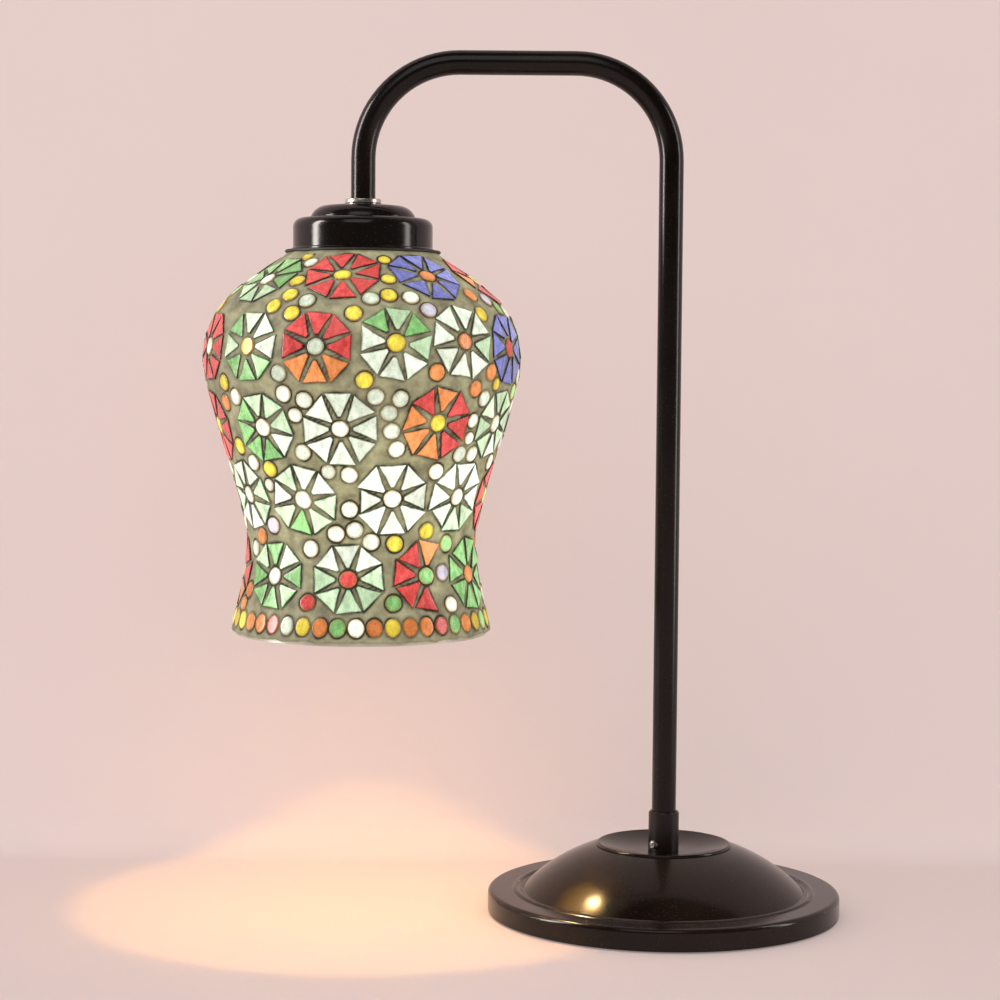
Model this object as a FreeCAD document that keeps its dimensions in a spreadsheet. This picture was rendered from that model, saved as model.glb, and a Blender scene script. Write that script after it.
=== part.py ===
import FreeCAD, Part
import math
import os
import random

import Sketcher

# A mosaic glass table lamp. A spun steel foot carries a swan-neck tube that turns in a collar,
# and the tube's drop end carries a lampholder under a black cap. The lampholder's ring clamps a
# mosaic glass shade, and a screw-in bulb hangs inside it.
# Millimetres, +Z up. The origin is the middle of the foot's underside. The neck reaches towards -X.

SHEET_NAME = "Sizes"
SIZES = {
    # foot
    "foot_radius": 92.5,
    "foot_rim_height": 12.0,
    "foot_rim_round": 2.4,
    "foot_lift": 0.8,
    "shell_wall": 1.0,
    "bead_radius": 77.5,
    "bead_rise": 0.9,
    "bead_width": 2.2,
    "dome_radius": 74.0,
    "dome_top_radius": 36.0,
    "dome_top_height": 35.2,
    "dome_bulge": 2.6,
    "plate_radius": 34.5,
    "plate_height": 36.6,
    "plate_dish": 4.0,
    "plate_flat_radius": 12.0,
    "weight_radius": 88.0,
    "weight_height": 8.2,
    "weight_hub_radius": 22.0,
    "weight_gap": 0.6,
    "recess_radius": 20.0,
    "recess_height": 16.0,
    "channel_width": 7.0,
    "channel_height": 7.0,
    "pad_radius": 88.0,
    "pad_thickness": 2.0,
    "grommet_radius": 5.6,
    "grommet_bore": 2.6,
    "grommet_height": 5.9,
    "grommet_lip": 1.5,
    # threads and the stem
    "nipple_radius": 5.0,
    "nipple_bore": 3.5,
    "nipple_hole": 5.2,
    "nipple_reach": 6.5,
    "washer_radius": 10.0,
    "washer_thickness": 1.5,
    "nut_flats": 14.0,
    "nut_height": 4.0,
    "collar_radius": 8.0,
    "collar_height": 20.8,
    "collar_web": 2.0,
    "collar_chamfer": 0.9,
    "swivel_clearance": 0.05,
    "screw_rise": 3.7,
    "screw_shank": 1.5,
    "screw_head_radius": 2.4,
    "screw_head_height": 1.5,
    "screw_angle": 42.0,
    # neck
    "tube_radius": 6.35,
    "tube_wall": 1.0,
    "neck_height": 450.0,
    "neck_reach": 160.0,
    "neck_bend": 50.0,
    "drop_end": 372.9,
    "stud_plug": 14.0,
    "stud_bottom": 350.5,
    "lead_radius": 2.5,
    "lead_bend": 7.0,
    # cap and its fixings
    "check_ring_radius": 9.4,
    "check_ring_height": 2.5,
    "cap_radius": 36.3,
    "cap_bottom": 346.3,
    "cap_step": 362.8,
    "cap_tier_radius": 27.2,
    "cap_round": 4.7,
    "cap_crown_radius": 18.5,
    "cap_crown_drop": 1.0,
    "cap_seat_radius": 10.5,
    "cap_wall": 0.8,
    "lock_nut_height": 3.0,
    "gasket_outer": 40.5,
    "gasket_inner": 30.0,
    "gasket_thickness": 1.5,
    # lampholder
    "holder_radius": 19.75,
    "holder_neck_radius": 7.5,
    "holder_top": 359.5,
    "holder_dome_top": 352.5,
    "holder_joint": 344.0,
    "holder_bottom": 306.0,
    "holder_wall": 2.0,
    "holder_mouth": 16.3,
    "insert_radius": 17.4,
    "insert_bottom": 308.5,
    "insert_step": 313.0,
    "insert_face": 340.0,
    "insert_top": 346.0,
    "screw_shell_radius": 13.1,
    "screw_shell_wall": 0.5,
    "terminal_spacing": 9.5,
    "terminal_head": 2.8,
    "ring_outer": 26.5,
    "ring_height": 4.5,
    "ring_clearance": 0.1,
    # bulb
    "bulb_cap_radius": 12.95,
    "bulb_cap_wall": 0.6,
    "bulb_cap_bottom": 311.0,
    "bulb_cap_top": 332.5,
    "bulb_contact_tip": 338.9,
    "bulb_collar_radius": 13.6,
    "bulb_flank_radius": 21.0,
    "bulb_flank_height": 287.0,
    "bulb_waist": 268.0,
    "bulb_radius": 30.0,
    "bulb_wall": 1.4,
    "bulb_tip": 228.0,
    "bulb_board_radius": 26.0,
    # shade
    "glass_top": 344.8,
    "glass_wall": 2.5,
    "glass_hole": 21.0,
    "glass_rim": 147.0,
    "grout_thickness": 1.4,
    "grout_rim": 149.0,
    "tile_thickness": 1.5,
    "tile_seat": 0.12,
    "tile_gap": 0.35,
    "smallest_tile": 14.0,
    "petal_inner": 5.7,
    "petal_outer": 17.6,
    "petal_width": 13.7,
    "dot_radius": 4.6,
    "rim_dot_radius": 4.15,
    "rim_dot_stretch": 1.18,
    "rim_dot_height": 156.0,
    "chip_radius": 4.3,
}

# The shade's outer outline over the tiles, from the shoulder down to the rim, as (height, radius).
SHADE_STATIONS = [
    (345.7, 38.6),
    (339.3, 47.0),
    (329.5, 60.9),
    (316.9, 74.0),
    (304.4, 80.4),
    (290.0, 82.6),
    (266.8, 78.4),
    (241.7, 71.0),
    (216.6, 63.4),
    (191.5, 59.8),
    (166.4, 64.0),
    (147.0, 68.6),
]

# Colours of glass, by the letter that stands for each in the lists below.
COLOURS = {
    "R": "red",
    "O": "orange",
    "Y": "yellow",
    "G": "green",
    "M": "mint",
    "W": "white",
    "B": "blue",
    "V": "violet",
}

# Flowers of the mosaic, in five rows: (angle from the front towards +X, height, petals, centre).
# The petals start with the one that points up and go clockwise. A full stop leaves one out.
FLOWERS = [
    (-95, 331, "WWMMWWMM", "Y"),
    (-50, 329, "GGGMMMGG", "W"),
    (-7, 331, "RRRRRRRR", "Y"),
    (38, 331, "BBBBBBBB", "O"),
    (83, 330, "RRORRROR", "Y"),
    (129, 331, "MMMGGMMM", "R"),
    (174, 331, "RRRRRRRR", "W"),
    (219, 331, "BBBBBBBB", "Y"),

    (-68, 296, "RRRRRRRR", "W"),
    (-41, 296, "MMWGGGMG", "Y"),
    (-13, 296, "RRROOORR", "W"),
    (15, 298, "MGMWWWWG", "Y"),
    (42, 299, "WWMWWWWW", "O"),
    (69, 296, "BBBBBBBB", "R"),
    (97, 296, "GGMMGGMM", "Y"),
    (125, 296, "RRRRRRRR", "W"),
    (153, 296, "WWWWWWWW", "R"),
    (181, 296, "GGGGMMMM", "O"),
    (209, 296, "RROORRRR", "Y"),
    (237, 296, "WMWMWWWW", "Y"),
    (264, 296, "WWWWWWWW", "O"),

    (-74, 256, "RRRRRRRR", "Y"),
    (-38, 256, "MMMWGGGG", "W"),
    (-5, 256, "WWWWWWWW", "W"),
    (33, 259, "ORRROOOR", "Y"),
    (67, 258, "MMMMWMMM", "W"),
    (103, 257, "WWWWWWWW", "O"),
    (139, 257, "BBBBBBBB", "W"),
    (175, 257, "GGGGGGGG", "W"),
    (212, 257, "RRRROORR", "Y"),
    (249, 257, "MMMMMMMM", "Y"),

    (-60, 221, "WWMMWWMM", "W"),
    (-24, 220, "WWMMGMWM", "W"),
    (17, 221, "WWWWWWWW", "W"),
    (52, 221, "WWWMMWWW", "W"),
    (87, 220, "RRRRRRRR", "Y"),
    (122, 220, "GMGMGMGM", "W"),
    (157, 220, "WWWWWWWW", "R"),
    (193, 220, "ROROROOO", "W"),
    (230, 220, "RRRRRRRR", "Y"),
    (265, 220, "MMMMWWMM", "O"),

    (-84, 180, "RRROORRR", "Y"),
    (-43, 180, "GMGGGGGM", "W"),
    (-3, 180, "WWMMMMMW", "R"),
    (36, 181, "O...RRRR", "G"),
    (68, 180, "GGGGGGGG", "O"),
    (108, 180, "WWWWWWWW", "Y"),
    (149, 180, "RRRRRRRR", "W"),
    (191, 180, "MMMMMMMM", "O"),
    (233, 180, "BBBBBBBB", "Y"),
]

# Single round pieces set by hand between the flowers of the front: (angle, height, colour).
LOOSE_DOTS = [
    (-28, 321, "Y"), (-29, 328, "Y"), (-19, 318, "W"), (-34, 315, "Y"), (-24, 312, "Y"),
    (0, 312, "Y"), (6, 320, "W"), (14, 321, "Y"), (15, 329, "Y"), (23, 320, "W"),
    (29, 313, "V"), (17, 337, "Y"), (-28, 336, "W"), (-33, 338, "Y"), (54, 312, "Y"),
    (66, 320, "V"), (56, 322, "O"), (-27, 283, "W"), (-26, 273, "W"), (-18, 270, "W"),
    (-22, 262, "W"), (-21, 244, "W"), (4, 280, "Y"), (8, 272, "W"), (17, 271, "W"),
    (14, 264, "W"), (15, 255, "W"), (17, 246, "W"), (30, 284, "O"), (56, 284, "O"),
    (61, 279, "Y"), (48, 276, "O"), (54, 271, "W"), (52, 261, "W"), (52, 251, "W"),
    (-38, 233, "Y"), (-43, 226, "W"), (-44, 206, "V"), (-53, 199, "O"), (-10, 236, "W"),
    (-2, 233, "W"), (-2, 215, "W"), (-9, 203, "W"), (0, 205, "W"), (9, 199, "W"),
    (20, 199, "Y"), (36, 204, "Y"), (48, 197, "G"), (37, 233, "W"), (46, 241, "W"),
    (56, 242, "W"), (-22, 195, "W"), (-22, 168, "R"), (18, 168, "G"), (49, 166, "W"),
    (48, 181, "V"), (-64, 172, "O"), (-66, 163, "O"), (-62, 193, "W"), (-56, 278, "Y"),
    (-50, 271, "W"), (-58, 268, "O"), (-56, 246, "Y"), (-50, 237, "W"),
]
RIM_DOTS = 45
RIM_SEQUENCE = "YYOORWYOGWOYOORGOYG"
RIM_START_ANGLE = -71.0
BACK_DOT_COLOURS = "YWWYOWGWYRWWVY"
HAND_SET_ANGLE = 72.0


class Size:
    """A number from the sheet, with the expression that gives it."""

    def __init__(self, value, text):
        self.value = value
        self.text = text

    def combined(self, other, sign, value):
        text = other.text if isinstance(other, Size) else repr(float(other))
        return Size(value, f"({self.text} {sign} {text})")

    def __add__(self, other):
        return self.combined(other, "+", self.value + number(other))

    def __sub__(self, other):
        return self.combined(other, "-", self.value - number(other))

    def __mul__(self, other):
        return self.combined(other, "*", self.value * number(other))

    def __truediv__(self, other):
        return self.combined(other, "/", self.value / number(other))


def number(size):
    return size.value if isinstance(size, Size) else float(size)


def expression(size):
    return size.text if isinstance(size, Size) else repr(float(size))


class Sizes:
    """The sheet's sizes by name: sizes.foot_radius is a Size."""

    def __init__(self, doc):
        sheet = doc.addObject("Spreadsheet::Sheet", SHEET_NAME)
        for row, (name, value) in enumerate(SIZES.items(), 1):
            sheet.set(f"A{row}", name)
            sheet.set(f"B{row}", str(value))
            sheet.setAlias(f"B{row}", name)
        doc.recompute()
        for name, value in SIZES.items():
            setattr(self, name, Size(value, f"{SHEET_NAME}.{name}"))


doc = FreeCAD.newDocument("MosaicLamp")
S = Sizes(doc)
subparts = []

CLEARLY_ZERO = 1e-9


def kept(obj, label):
    """Gives an object its node name and puts it on the list of sub-parts."""
    obj.Label = label
    subparts.append(obj)
    return obj


def origin_plane(body, role):
    return next(f for f in body.Origin.OriginFeatures if f.Role == role)


def new_sketch(body, name, role):
    sketch = body.newObject("Sketcher::SketchObject", name)
    sketch.AttachmentSupport = [(origin_plane(body, role), "")]
    sketch.MapMode = "FlatFace"
    return sketch


def bind_point(sketch, edge, end, across, up):
    """Ties one end of an edge to sheet sizes, measured from the sketch's origin."""
    for kind, size, axis in (("DistanceX", across, -2), ("DistanceY", up, -1)):
        if abs(number(size)) < CLEARLY_ZERO:
            sketch.addConstraint(Sketcher.Constraint("PointOnObject", edge, end, axis))
            continue
        index = sketch.addConstraint(Sketcher.Constraint(kind, -1, 1, edge, end, number(size)))
        sketch.setExpression(f"Constraints[{index}]", expression(size))


def outline(sketch, points):
    """A closed outline through sheet sizes. A point may be followed by ("arc", x, z): a stretch
    that passes through x, z on its way to the next point."""
    corners = []
    through = {}
    for item in points:
        if item[0] == "arc":
            through[len(corners) - 1] = item[1:]
        else:
            corners.append(item)
    count = len(corners)
    place = [FreeCAD.Vector(number(x), number(z), 0) for x, z in corners]
    ends = []
    for i in range(count):
        start, stop = place[i], place[(i + 1) % count]
        if i in through:
            x, z = through[i]
            middle = FreeCAD.Vector(number(x), number(z), 0)
            clockwise = (middle - start).cross(stop - middle).z < 0
            first, last = (stop, start) if clockwise else (start, stop)
            edge = sketch.addGeometry(Part.Arc(first, middle, last), False)
            radius = sketch.Geometry[edge].Radius
            sketch.addConstraint(Sketcher.Constraint("Radius", edge, radius))
            ends.append((edge, 2, 1) if clockwise else (edge, 1, 2))
        else:
            edge = sketch.addGeometry(Part.LineSegment(start, stop), False)
            ends.append((edge, 1, 2))
    for i in range(count):
        edge, _, last = ends[i]
        following, first, _ = ends[(i + 1) % count]
        sketch.addConstraint(Sketcher.Constraint("Coincident", edge, last, following, first))
    for i, (x, z) in enumerate(corners):
        edge, first, _ = ends[i]
        bind_point(sketch, edge, first, x, z)


def placed(body, x=0.0, z=0.0):
    if isinstance(x, Size) or x:
        body.setExpression("Placement.Base.x", expression(x))
    if isinstance(z, Size) or z:
        body.setExpression("Placement.Base.z", expression(z))


def turned(label, points, x=0.0):
    """A body turned about the vertical axis at x, from an outline of (radius, height)."""
    body = doc.addObject("PartDesign::Body", label)
    sketch = new_sketch(body, f"{label}_profile", "XZ_Plane")
    outline(sketch, points)
    turn = body.newObject("PartDesign::Revolution", f"{label}_turn")
    turn.Profile = sketch
    turn.ReferenceAxis = (sketch, ["V_Axis"])
    turn.Angle = 360
    sketch.Visibility = False
    placed(body, x=x)
    doc.recompute()
    return kept(body, label)


def cut_pocket(body, name, role, draw, length, both_ways=False, reverse=False):
    """A pocket through a body from a sketch on one of its own origin planes."""
    before = body.Shape.Volume
    sketch = new_sketch(body, f"{name}_outline", role)
    draw(sketch)
    pocket = body.newObject("PartDesign::Pocket", name)
    pocket.Profile = sketch
    pocket.Midplane = both_ways
    pocket.Reversed = reverse
    pocket.setExpression("Length", expression(length))
    doc.recompute()
    if body.Shape.Volume >= before:
        raise RuntimeError(f"{name} cut nothing")
    return pocket


def axis_x():
    return S.neck_reach * -1.0


# ---------------------------------------------------------------- foot


def arc_middle(r1, z1, r2, z2, bulge):
    """The point a bulge's height outside the middle of a chord."""
    across, up = r2 - r1, z2 - z1
    length = math.hypot(across, up)
    return (r1 + r2) / 2 + up / length * bulge, (z1 + z2) / 2 - across / length * bulge


def base_shell():
    wall = S.shell_wall
    rim_top = S.foot_rim_height
    round_ = S.foot_rim_round
    r1, z1 = number(S.dome_radius), number(rim_top)
    r2, z2 = number(S.dome_top_radius), number(S.dome_top_height)
    middle = arc_middle(r1, z1, r2, z2, number(S.dome_bulge))
    slope = math.radians(30)
    inner_middle = (middle[0] - math.sin(slope) * number(wall),
                    middle[1] - math.cos(slope) * number(wall))
    corner = number(round_) * (1 - math.sqrt(0.5))
    bead_in = S.bead_radius - S.bead_width
    bead_out = S.bead_radius + S.bead_width
    plate_top = S.plate_height
    bowl_middle = number(plate_top - S.plate_dish * 0.65)
    edge_round = 0.7
    return turned("base_shell", [
        (S.foot_radius, S.foot_lift),
        (S.foot_radius, rim_top - round_),
        ("arc", S.foot_radius - corner, rim_top - corner),
        (S.foot_radius - round_, rim_top),
        (bead_out, rim_top),
        ("arc", S.bead_radius, rim_top + S.bead_rise),
        (bead_in, rim_top),
        (S.dome_radius, rim_top),
        ("arc", *middle),
        (S.dome_top_radius, S.dome_top_height),
        (S.plate_radius + edge_round, S.dome_top_height),
        ("arc", S.plate_radius + 0.5, plate_top - 0.2),
        (S.plate_radius - edge_round, plate_top),
        ("arc", 24.0, bowl_middle),
        (S.plate_flat_radius, plate_top - S.plate_dish),
        (S.nipple_hole, plate_top - S.plate_dish),
        (S.nipple_hole, plate_top - S.plate_dish - wall),
        (S.plate_flat_radius, plate_top - S.plate_dish - wall),
        ("arc", 24.2, bowl_middle - number(wall)),
        (S.plate_radius - 1.6, plate_top - wall - 0.7),
        (S.dome_top_radius - 1.0, S.dome_top_height - wall * 1.4),
        ("arc", *inner_middle),
        (S.dome_radius - 1.0, rim_top - wall),
        (S.foot_radius - round_, rim_top - wall),
        (S.foot_radius - wall, rim_top - round_),
        (S.foot_radius - wall, S.foot_lift),
    ])


def base_weight():
    floor = S.pad_thickness
    top = floor + S.weight_height
    hub_top = S.plate_height - S.plate_dish - S.shell_wall - S.weight_gap
    body = turned("base_weight", [
        (S.weight_radius, floor),
        (S.weight_radius, top - 1.0),
        (S.weight_radius - 1.0, top),
        (S.weight_hub_radius + 10.0, top),
        ("arc", S.weight_hub_radius + 5.0, top + 3.2),
        (S.weight_hub_radius + 2.0, top + 9.0),
        (S.weight_hub_radius, hub_top - 1.0),
        (S.weight_hub_radius - 1.0, hub_top),
        (S.nipple_hole, hub_top),
        (S.nipple_hole, floor + S.recess_height),
        (S.recess_radius, floor + S.recess_height),
        (S.recess_radius, floor),
    ])

    def channel(sketch):
        """The groove in the underside that the lead lies in, from the recess to the back."""
        half = S.channel_width / 2.0
        outline(sketch, [
            (half * -1.0, S.recess_radius - 3.0),
            (half, S.recess_radius - 3.0),
            (half, S.weight_radius + 4.0),
            (half * -1.0, S.weight_radius + 4.0),
        ])

    cut_pocket(body, "lead_channel", "XY_Plane", channel, floor + S.channel_height,
               reverse=True)
    return body


def base_pad():
    return turned("base_pad", [
        (0.0, 0.0),
        (S.pad_radius - 0.5, 0.0),
        (S.pad_radius, 0.5),
        (S.pad_radius, S.pad_thickness),
        (0.0, S.pad_thickness),
    ])


def grommet_axis(obj):
    """Lays a shape turned about Z down along +Y, at the back of the foot's rim."""
    turn = FreeCAD.Rotation(FreeCAD.Vector(1, 0, 0), -90)
    obj.Placement = FreeCAD.Placement(
        FreeCAD.Vector(0, number(S.foot_radius), number(S.grommet_height)), turn)
    obj.setExpression("Placement.Base.y", S.foot_radius.text)
    obj.setExpression("Placement.Base.z", S.grommet_height.text)


def cord_grommet():
    """A rubber bush in the foot's rim: a groove holds the sheet, a lip shows outside."""
    lip = S.grommet_lip
    neck = S.grommet_radius - 1.5
    body = turned("cord_grommet", [
        (S.grommet_bore, S.shell_wall * -1.0 - 1.6),
        (neck + 0.5, S.shell_wall * -1.0 - 1.6),
        (neck + 0.5, S.shell_wall * -1.0 - 0.95),
        (neck, S.shell_wall * -1.0 - 0.95),
        (neck, 0.25),
        (neck + 0.5, 0.25),
        (neck + 0.5, lip * 0.6),
        (neck, lip),
        (S.grommet_bore, lip),
    ])
    grommet_axis(body)
    return body


def grommet_hole(shell):
    """The hole in the rim that the grommet sits in."""
    def circle(sketch):
        centre = FreeCAD.Vector(0, number(S.grommet_height), 0)
        ring = sketch.addGeometry(
            Part.Circle(centre, FreeCAD.Vector(0, 0, 1), number(S.grommet_radius) - 1.15), False)
        size = sketch.addConstraint(
            Sketcher.Constraint("Radius", ring, number(S.grommet_radius) - 1.15))
        sketch.setExpression(f"Constraints[{size}]", (S.grommet_radius - 1.15).text)
        bind_point(sketch, ring, 3, 0.0, S.grommet_height)

    cut_pocket(shell, "grommet_hole", "XZ_Plane", circle, S.foot_radius + 5.0, reverse=False)


# ---------------------------------------------------------------- stem


def hex_nut(label, flats, height, bore, base_x, base_z):
    """A hexagon nut, as a prism with its corners turned off and a plain bore."""
    prism = doc.addObject("Part::Prism", f"{label}_hexagon")
    prism.Polygon = 6
    prism.setExpression("Circumradius", expression(flats / math.sqrt(3)))
    prism.setExpression("Height", expression(height))
    cone = doc.addObject("Part::Cone", f"{label}_chamfer")
    cone.setExpression("Radius1", expression(flats / 2.0 + height * 1.5 + 0.1))
    cone.setExpression("Radius2", expression(flats / 2.0 - 0.1))
    cone.setExpression("Height", expression(height))
    blank = doc.addObject("Part::Common", f"{label}_blank")
    blank.Base = prism
    blank.Tool = cone
    drill = doc.addObject("Part::Cylinder", f"{label}_bore")
    drill.setExpression("Radius", expression(bore))
    drill.setExpression("Height", expression(height * 3.0))
    drill.setExpression("Placement.Base.z", expression(height * -1.0))
    nut = doc.addObject("Part::Cut", label)
    nut.Base = blank
    nut.Tool = drill
    placed(nut, x=base_x, z=base_z)
    return kept(nut, label)


def plate_surface():
    return S.plate_height - S.plate_dish


def stem_nipple():
    bottom = S.pad_thickness + S.recess_height - S.nipple_reach
    top = plate_surface() + S.collar_web + 3.0
    return turned("stem_nipple", [
        (S.nipple_bore, bottom),
        (S.nipple_radius - 0.5, bottom),
        (S.nipple_radius, bottom + 0.5),
        (S.nipple_radius, top - 0.5),
        (S.nipple_radius - 0.5, top),
        (S.nipple_bore, top),
    ])


def stem_washer():
    top = S.pad_thickness + S.recess_height
    return turned("stem_washer", [
        (S.nipple_radius, top - S.washer_thickness),
        (S.washer_radius, top - S.washer_thickness),
        (S.washer_radius, top),
        (S.nipple_radius, top),
    ])


def stem_collar():
    foot = plate_surface()
    top = foot + S.collar_height
    bore = S.tube_radius + S.swivel_clearance
    body = turned("stem_collar", [
        (S.nipple_radius, foot),
        (S.collar_radius - 0.3, foot),
        (S.collar_radius, foot + 0.3),
        (S.collar_radius, top - S.collar_chamfer),
        (S.collar_radius - S.collar_chamfer * 0.7, top),
        (bore + 0.4, top),
        (bore, top - 0.4),
        (bore, foot + S.collar_web),
        (S.nipple_radius, foot + S.collar_web),
    ])
    return body


def screw_placement(obj, radius, height):
    """Puts a shape made along +Z on a radial line through the collar's wall."""
    angle = math.radians(number(S.screw_angle))
    out = FreeCAD.Vector(-math.sin(angle), -math.cos(angle), 0)
    turn = FreeCAD.Rotation(FreeCAD.Vector(0, 0, 1), out)
    obj.Placement = FreeCAD.Placement(out * radius + FreeCAD.Vector(0, 0, height), turn)


def collar_screw_hole(collar):
    """The tapped hole for the set screw, cut by a plain cylinder along the screw's line."""
    drill = doc.addObject("Part::Cylinder", "collar_screw_drill")
    drill.setExpression("Radius", S.screw_shank.text)
    drill.Height = number(S.collar_radius)
    screw_placement(drill, number(S.tube_radius) - 3.0, number(plate_surface() + S.screw_rise))
    cut = doc.addObject("Part::Cut", "stem_collar_tapped")
    cut.Base = collar
    cut.Tool = drill
    subparts.remove(collar)
    collar.Label = "stem_collar_blank"
    return kept(cut, "stem_collar")


def set_screw():
    """A slotted screw: its point stops just short of the tube, its head stands on the collar."""
    inner = number(S.tube_radius) + number(S.swivel_clearance)
    seat = number(S.collar_radius) - inner + 0.15
    head = S.screw_head_radius
    rise = S.screw_head_height
    body = turned("set_screw", [
        (0.0, 0.0),
        (S.screw_shank, 0.0),
        (S.screw_shank, seat),
        (head, seat),
        (head, rise * 0.55 + seat),
        ("arc", head * 0.78, rise * 0.88 + seat),
        (head * 0.35, rise + seat),
        (0.0, rise + seat),
    ])

    def slot(sketch):
        outline(sketch, [
            (head * -1.3, rise * 0.55 + seat),
            (head * 1.3, rise * 0.55 + seat),
            (head * 1.3, rise * 1.5 + seat),
            (head * -1.3, rise * 1.5 + seat),
        ])

    cut_pocket(body, "set_screw_slot", "XZ_Plane", slot, 0.7, both_ways=True)
    screw_placement(body, inner, number(plate_surface() + S.screw_rise))
    return body


# ---------------------------------------------------------------- neck


def neck_line(bottom, end, point):
    """The neck's middle line: up, over two equal bends, and down to its drop end. The call
    point(x, z) gives a place on it as a vector."""
    bend = number(S.neck_bend)
    reach = number(S.neck_reach)
    bar = number(S.neck_height) - number(S.tube_radius)
    straight = bar - bend
    slant = bend * math.sqrt(0.5)
    return [
        Part.LineSegment(point(0, bottom), point(0, straight)),
        Part.Arc(point(0, straight), point(slant - bend, straight + slant), point(-bend, bar)),
        Part.LineSegment(point(-bend, bar), point(bend - reach, bar)),
        Part.Arc(point(bend - reach, bar), point(bend - reach - slant, straight + slant),
                 point(-reach, straight)),
        Part.LineSegment(point(-reach, straight), point(-reach, end)),
    ]


def neck_spine(body, bottom, end):
    """A sketch of the neck's middle line, tied to the sheet."""
    sketch = new_sketch(body, "neck_line", "XZ_Plane")

    def flat_point(x, z):
        return FreeCAD.Vector(x, z, 0)

    edges = neck_line(number(bottom), number(end), flat_point)
    rise, first, bar, second, drop = [sketch.addGeometry(edge, False) for edge in edges]
    constraint = Sketcher.Constraint
    joins = (("Tangent", rise, 2, first, 1), ("Tangent", first, 2, bar, 1),
             ("Tangent", bar, 2, second, 1), ("Tangent", second, 2, drop, 1))
    for join in joins:
        sketch.addConstraint(constraint(*join))
    sketch.addConstraint(constraint("Vertical", rise))
    sketch.addConstraint(constraint("Horizontal", bar))
    for arc in (first, second):
        index = sketch.addConstraint(constraint("Radius", arc, number(S.neck_bend)))
        sketch.setExpression(f"Constraints[{index}]", S.neck_bend.text)
    bind_point(sketch, rise, 1, 0.0, bottom)
    bind_point(sketch, drop, 2, S.neck_reach * -1.0, end)
    bar_height = S.neck_height - S.tube_radius
    height = sketch.addConstraint(constraint("DistanceY", -1, 1, bar, 1, number(bar_height)))
    sketch.setExpression(f"Constraints[{height}]", bar_height.text)
    return sketch


def arm_tube():
    """The bent neck: a ring swept along the middle line."""
    bottom = plate_surface() + S.collar_web
    body = doc.addObject("PartDesign::Body", "arm_tube")
    spine = neck_spine(body, bottom, S.drop_end)
    section = new_sketch(body, "arm_tube_section", "XY_Plane")
    section.AttachmentOffset = FreeCAD.Placement(
        FreeCAD.Vector(0, 0, number(bottom)), FreeCAD.Rotation())
    section.setExpression("AttachmentOffset.Base.z", bottom.text)
    for radius in (S.tube_radius, S.tube_radius - S.tube_wall):
        ring = section.addGeometry(
            Part.Circle(FreeCAD.Vector(), FreeCAD.Vector(0, 0, 1), number(radius)), False)
        index = section.addConstraint(Sketcher.Constraint("Radius", ring, number(radius)))
        section.setExpression(f"Constraints[{index}]", radius.text)
        section.addConstraint(Sketcher.Constraint("Coincident", ring, 3, -1, 1))
    doc.recompute()
    sweep = body.newObject("PartDesign::AdditivePipe", "arm_tube_sweep")
    sweep.Profile = section
    sweep.Spine = spine
    doc.recompute()
    return kept(body, "arm_tube")


def arm_end_stud():
    """A turned plug brazed into the drop end, with the threaded stud that carries the shade."""
    plug = S.tube_radius - S.tube_wall
    bore = S.nipple_bore
    return turned("arm_end_stud", [
        (bore, S.stud_bottom),
        (S.nipple_radius - 0.5, S.stud_bottom),
        (S.nipple_radius, S.stud_bottom + 0.5),
        (S.nipple_radius, S.drop_end),
        (plug, S.drop_end),
        (plug, S.drop_end + S.stud_plug),
        (bore + 0.6, S.drop_end + S.stud_plug),
        (bore, S.drop_end + S.stud_plug - 0.6),
    ], x=axis_x())


def check_ring():
    top = S.drop_end
    bottom = top - S.check_ring_height
    edge = 0.7
    return turned("check_ring", [
        (S.nipple_radius, bottom),
        (S.check_ring_radius - edge, bottom),
        ("arc", S.check_ring_radius - 0.2, bottom + 0.2),
        (S.check_ring_radius, bottom + edge),
        (S.check_ring_radius, top - edge),
        ("arc", S.check_ring_radius - 0.2, top - 0.2),
        (S.check_ring_radius - edge, top),
        (S.nipple_radius, top),
    ], x=axis_x())


def shade_cap():
    """The black two-tier cap, spun from thin sheet."""
    top = S.drop_end - S.check_ring_height
    wall = S.cap_wall
    step = S.cap_step
    r = S.cap_round
    inner = r - wall
    corner = number(r) * (1 - math.sqrt(0.5))
    inner_corner = number(inner) * (1 - math.sqrt(0.5))
    tier = S.cap_tier_radius
    tier_inner = tier - wall
    crown = S.cap_crown_radius
    crown_top = top - S.cap_crown_drop
    return turned("shade_cap", [
        (S.cap_radius + 0.5, S.cap_bottom),
        (S.cap_radius + 0.5, S.cap_bottom + 0.8),
        (S.cap_radius, S.cap_bottom + 1.3),
        (S.cap_radius, step - r),
        ("arc", S.cap_radius - corner, step - corner),
        (S.cap_radius - r, step),
        (tier + 0.8, step),
        ("arc", tier + 0.23, step + 0.23),
        (tier, step + 0.8),
        ("arc", tier - 3.4, crown_top - 1.5),
        (crown, crown_top),
        (S.cap_seat_radius, top),
        (S.nipple_hole, top),
        (S.nipple_hole, top - wall),
        (S.cap_seat_radius - 0.2, top - wall),
        (crown - 0.2, crown_top - wall),
        ("arc", tier_inner - 3.2, crown_top - wall - 1.4),
        (tier_inner, step + 0.8),
        (tier_inner, step - wall),
        (S.cap_radius - r, step - wall),
        ("arc", S.cap_radius - wall - inner_corner, step - wall - inner_corner),
        (S.cap_radius - wall, step - r),
        (S.cap_radius - wall, S.cap_bottom),
    ], x=axis_x())


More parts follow.
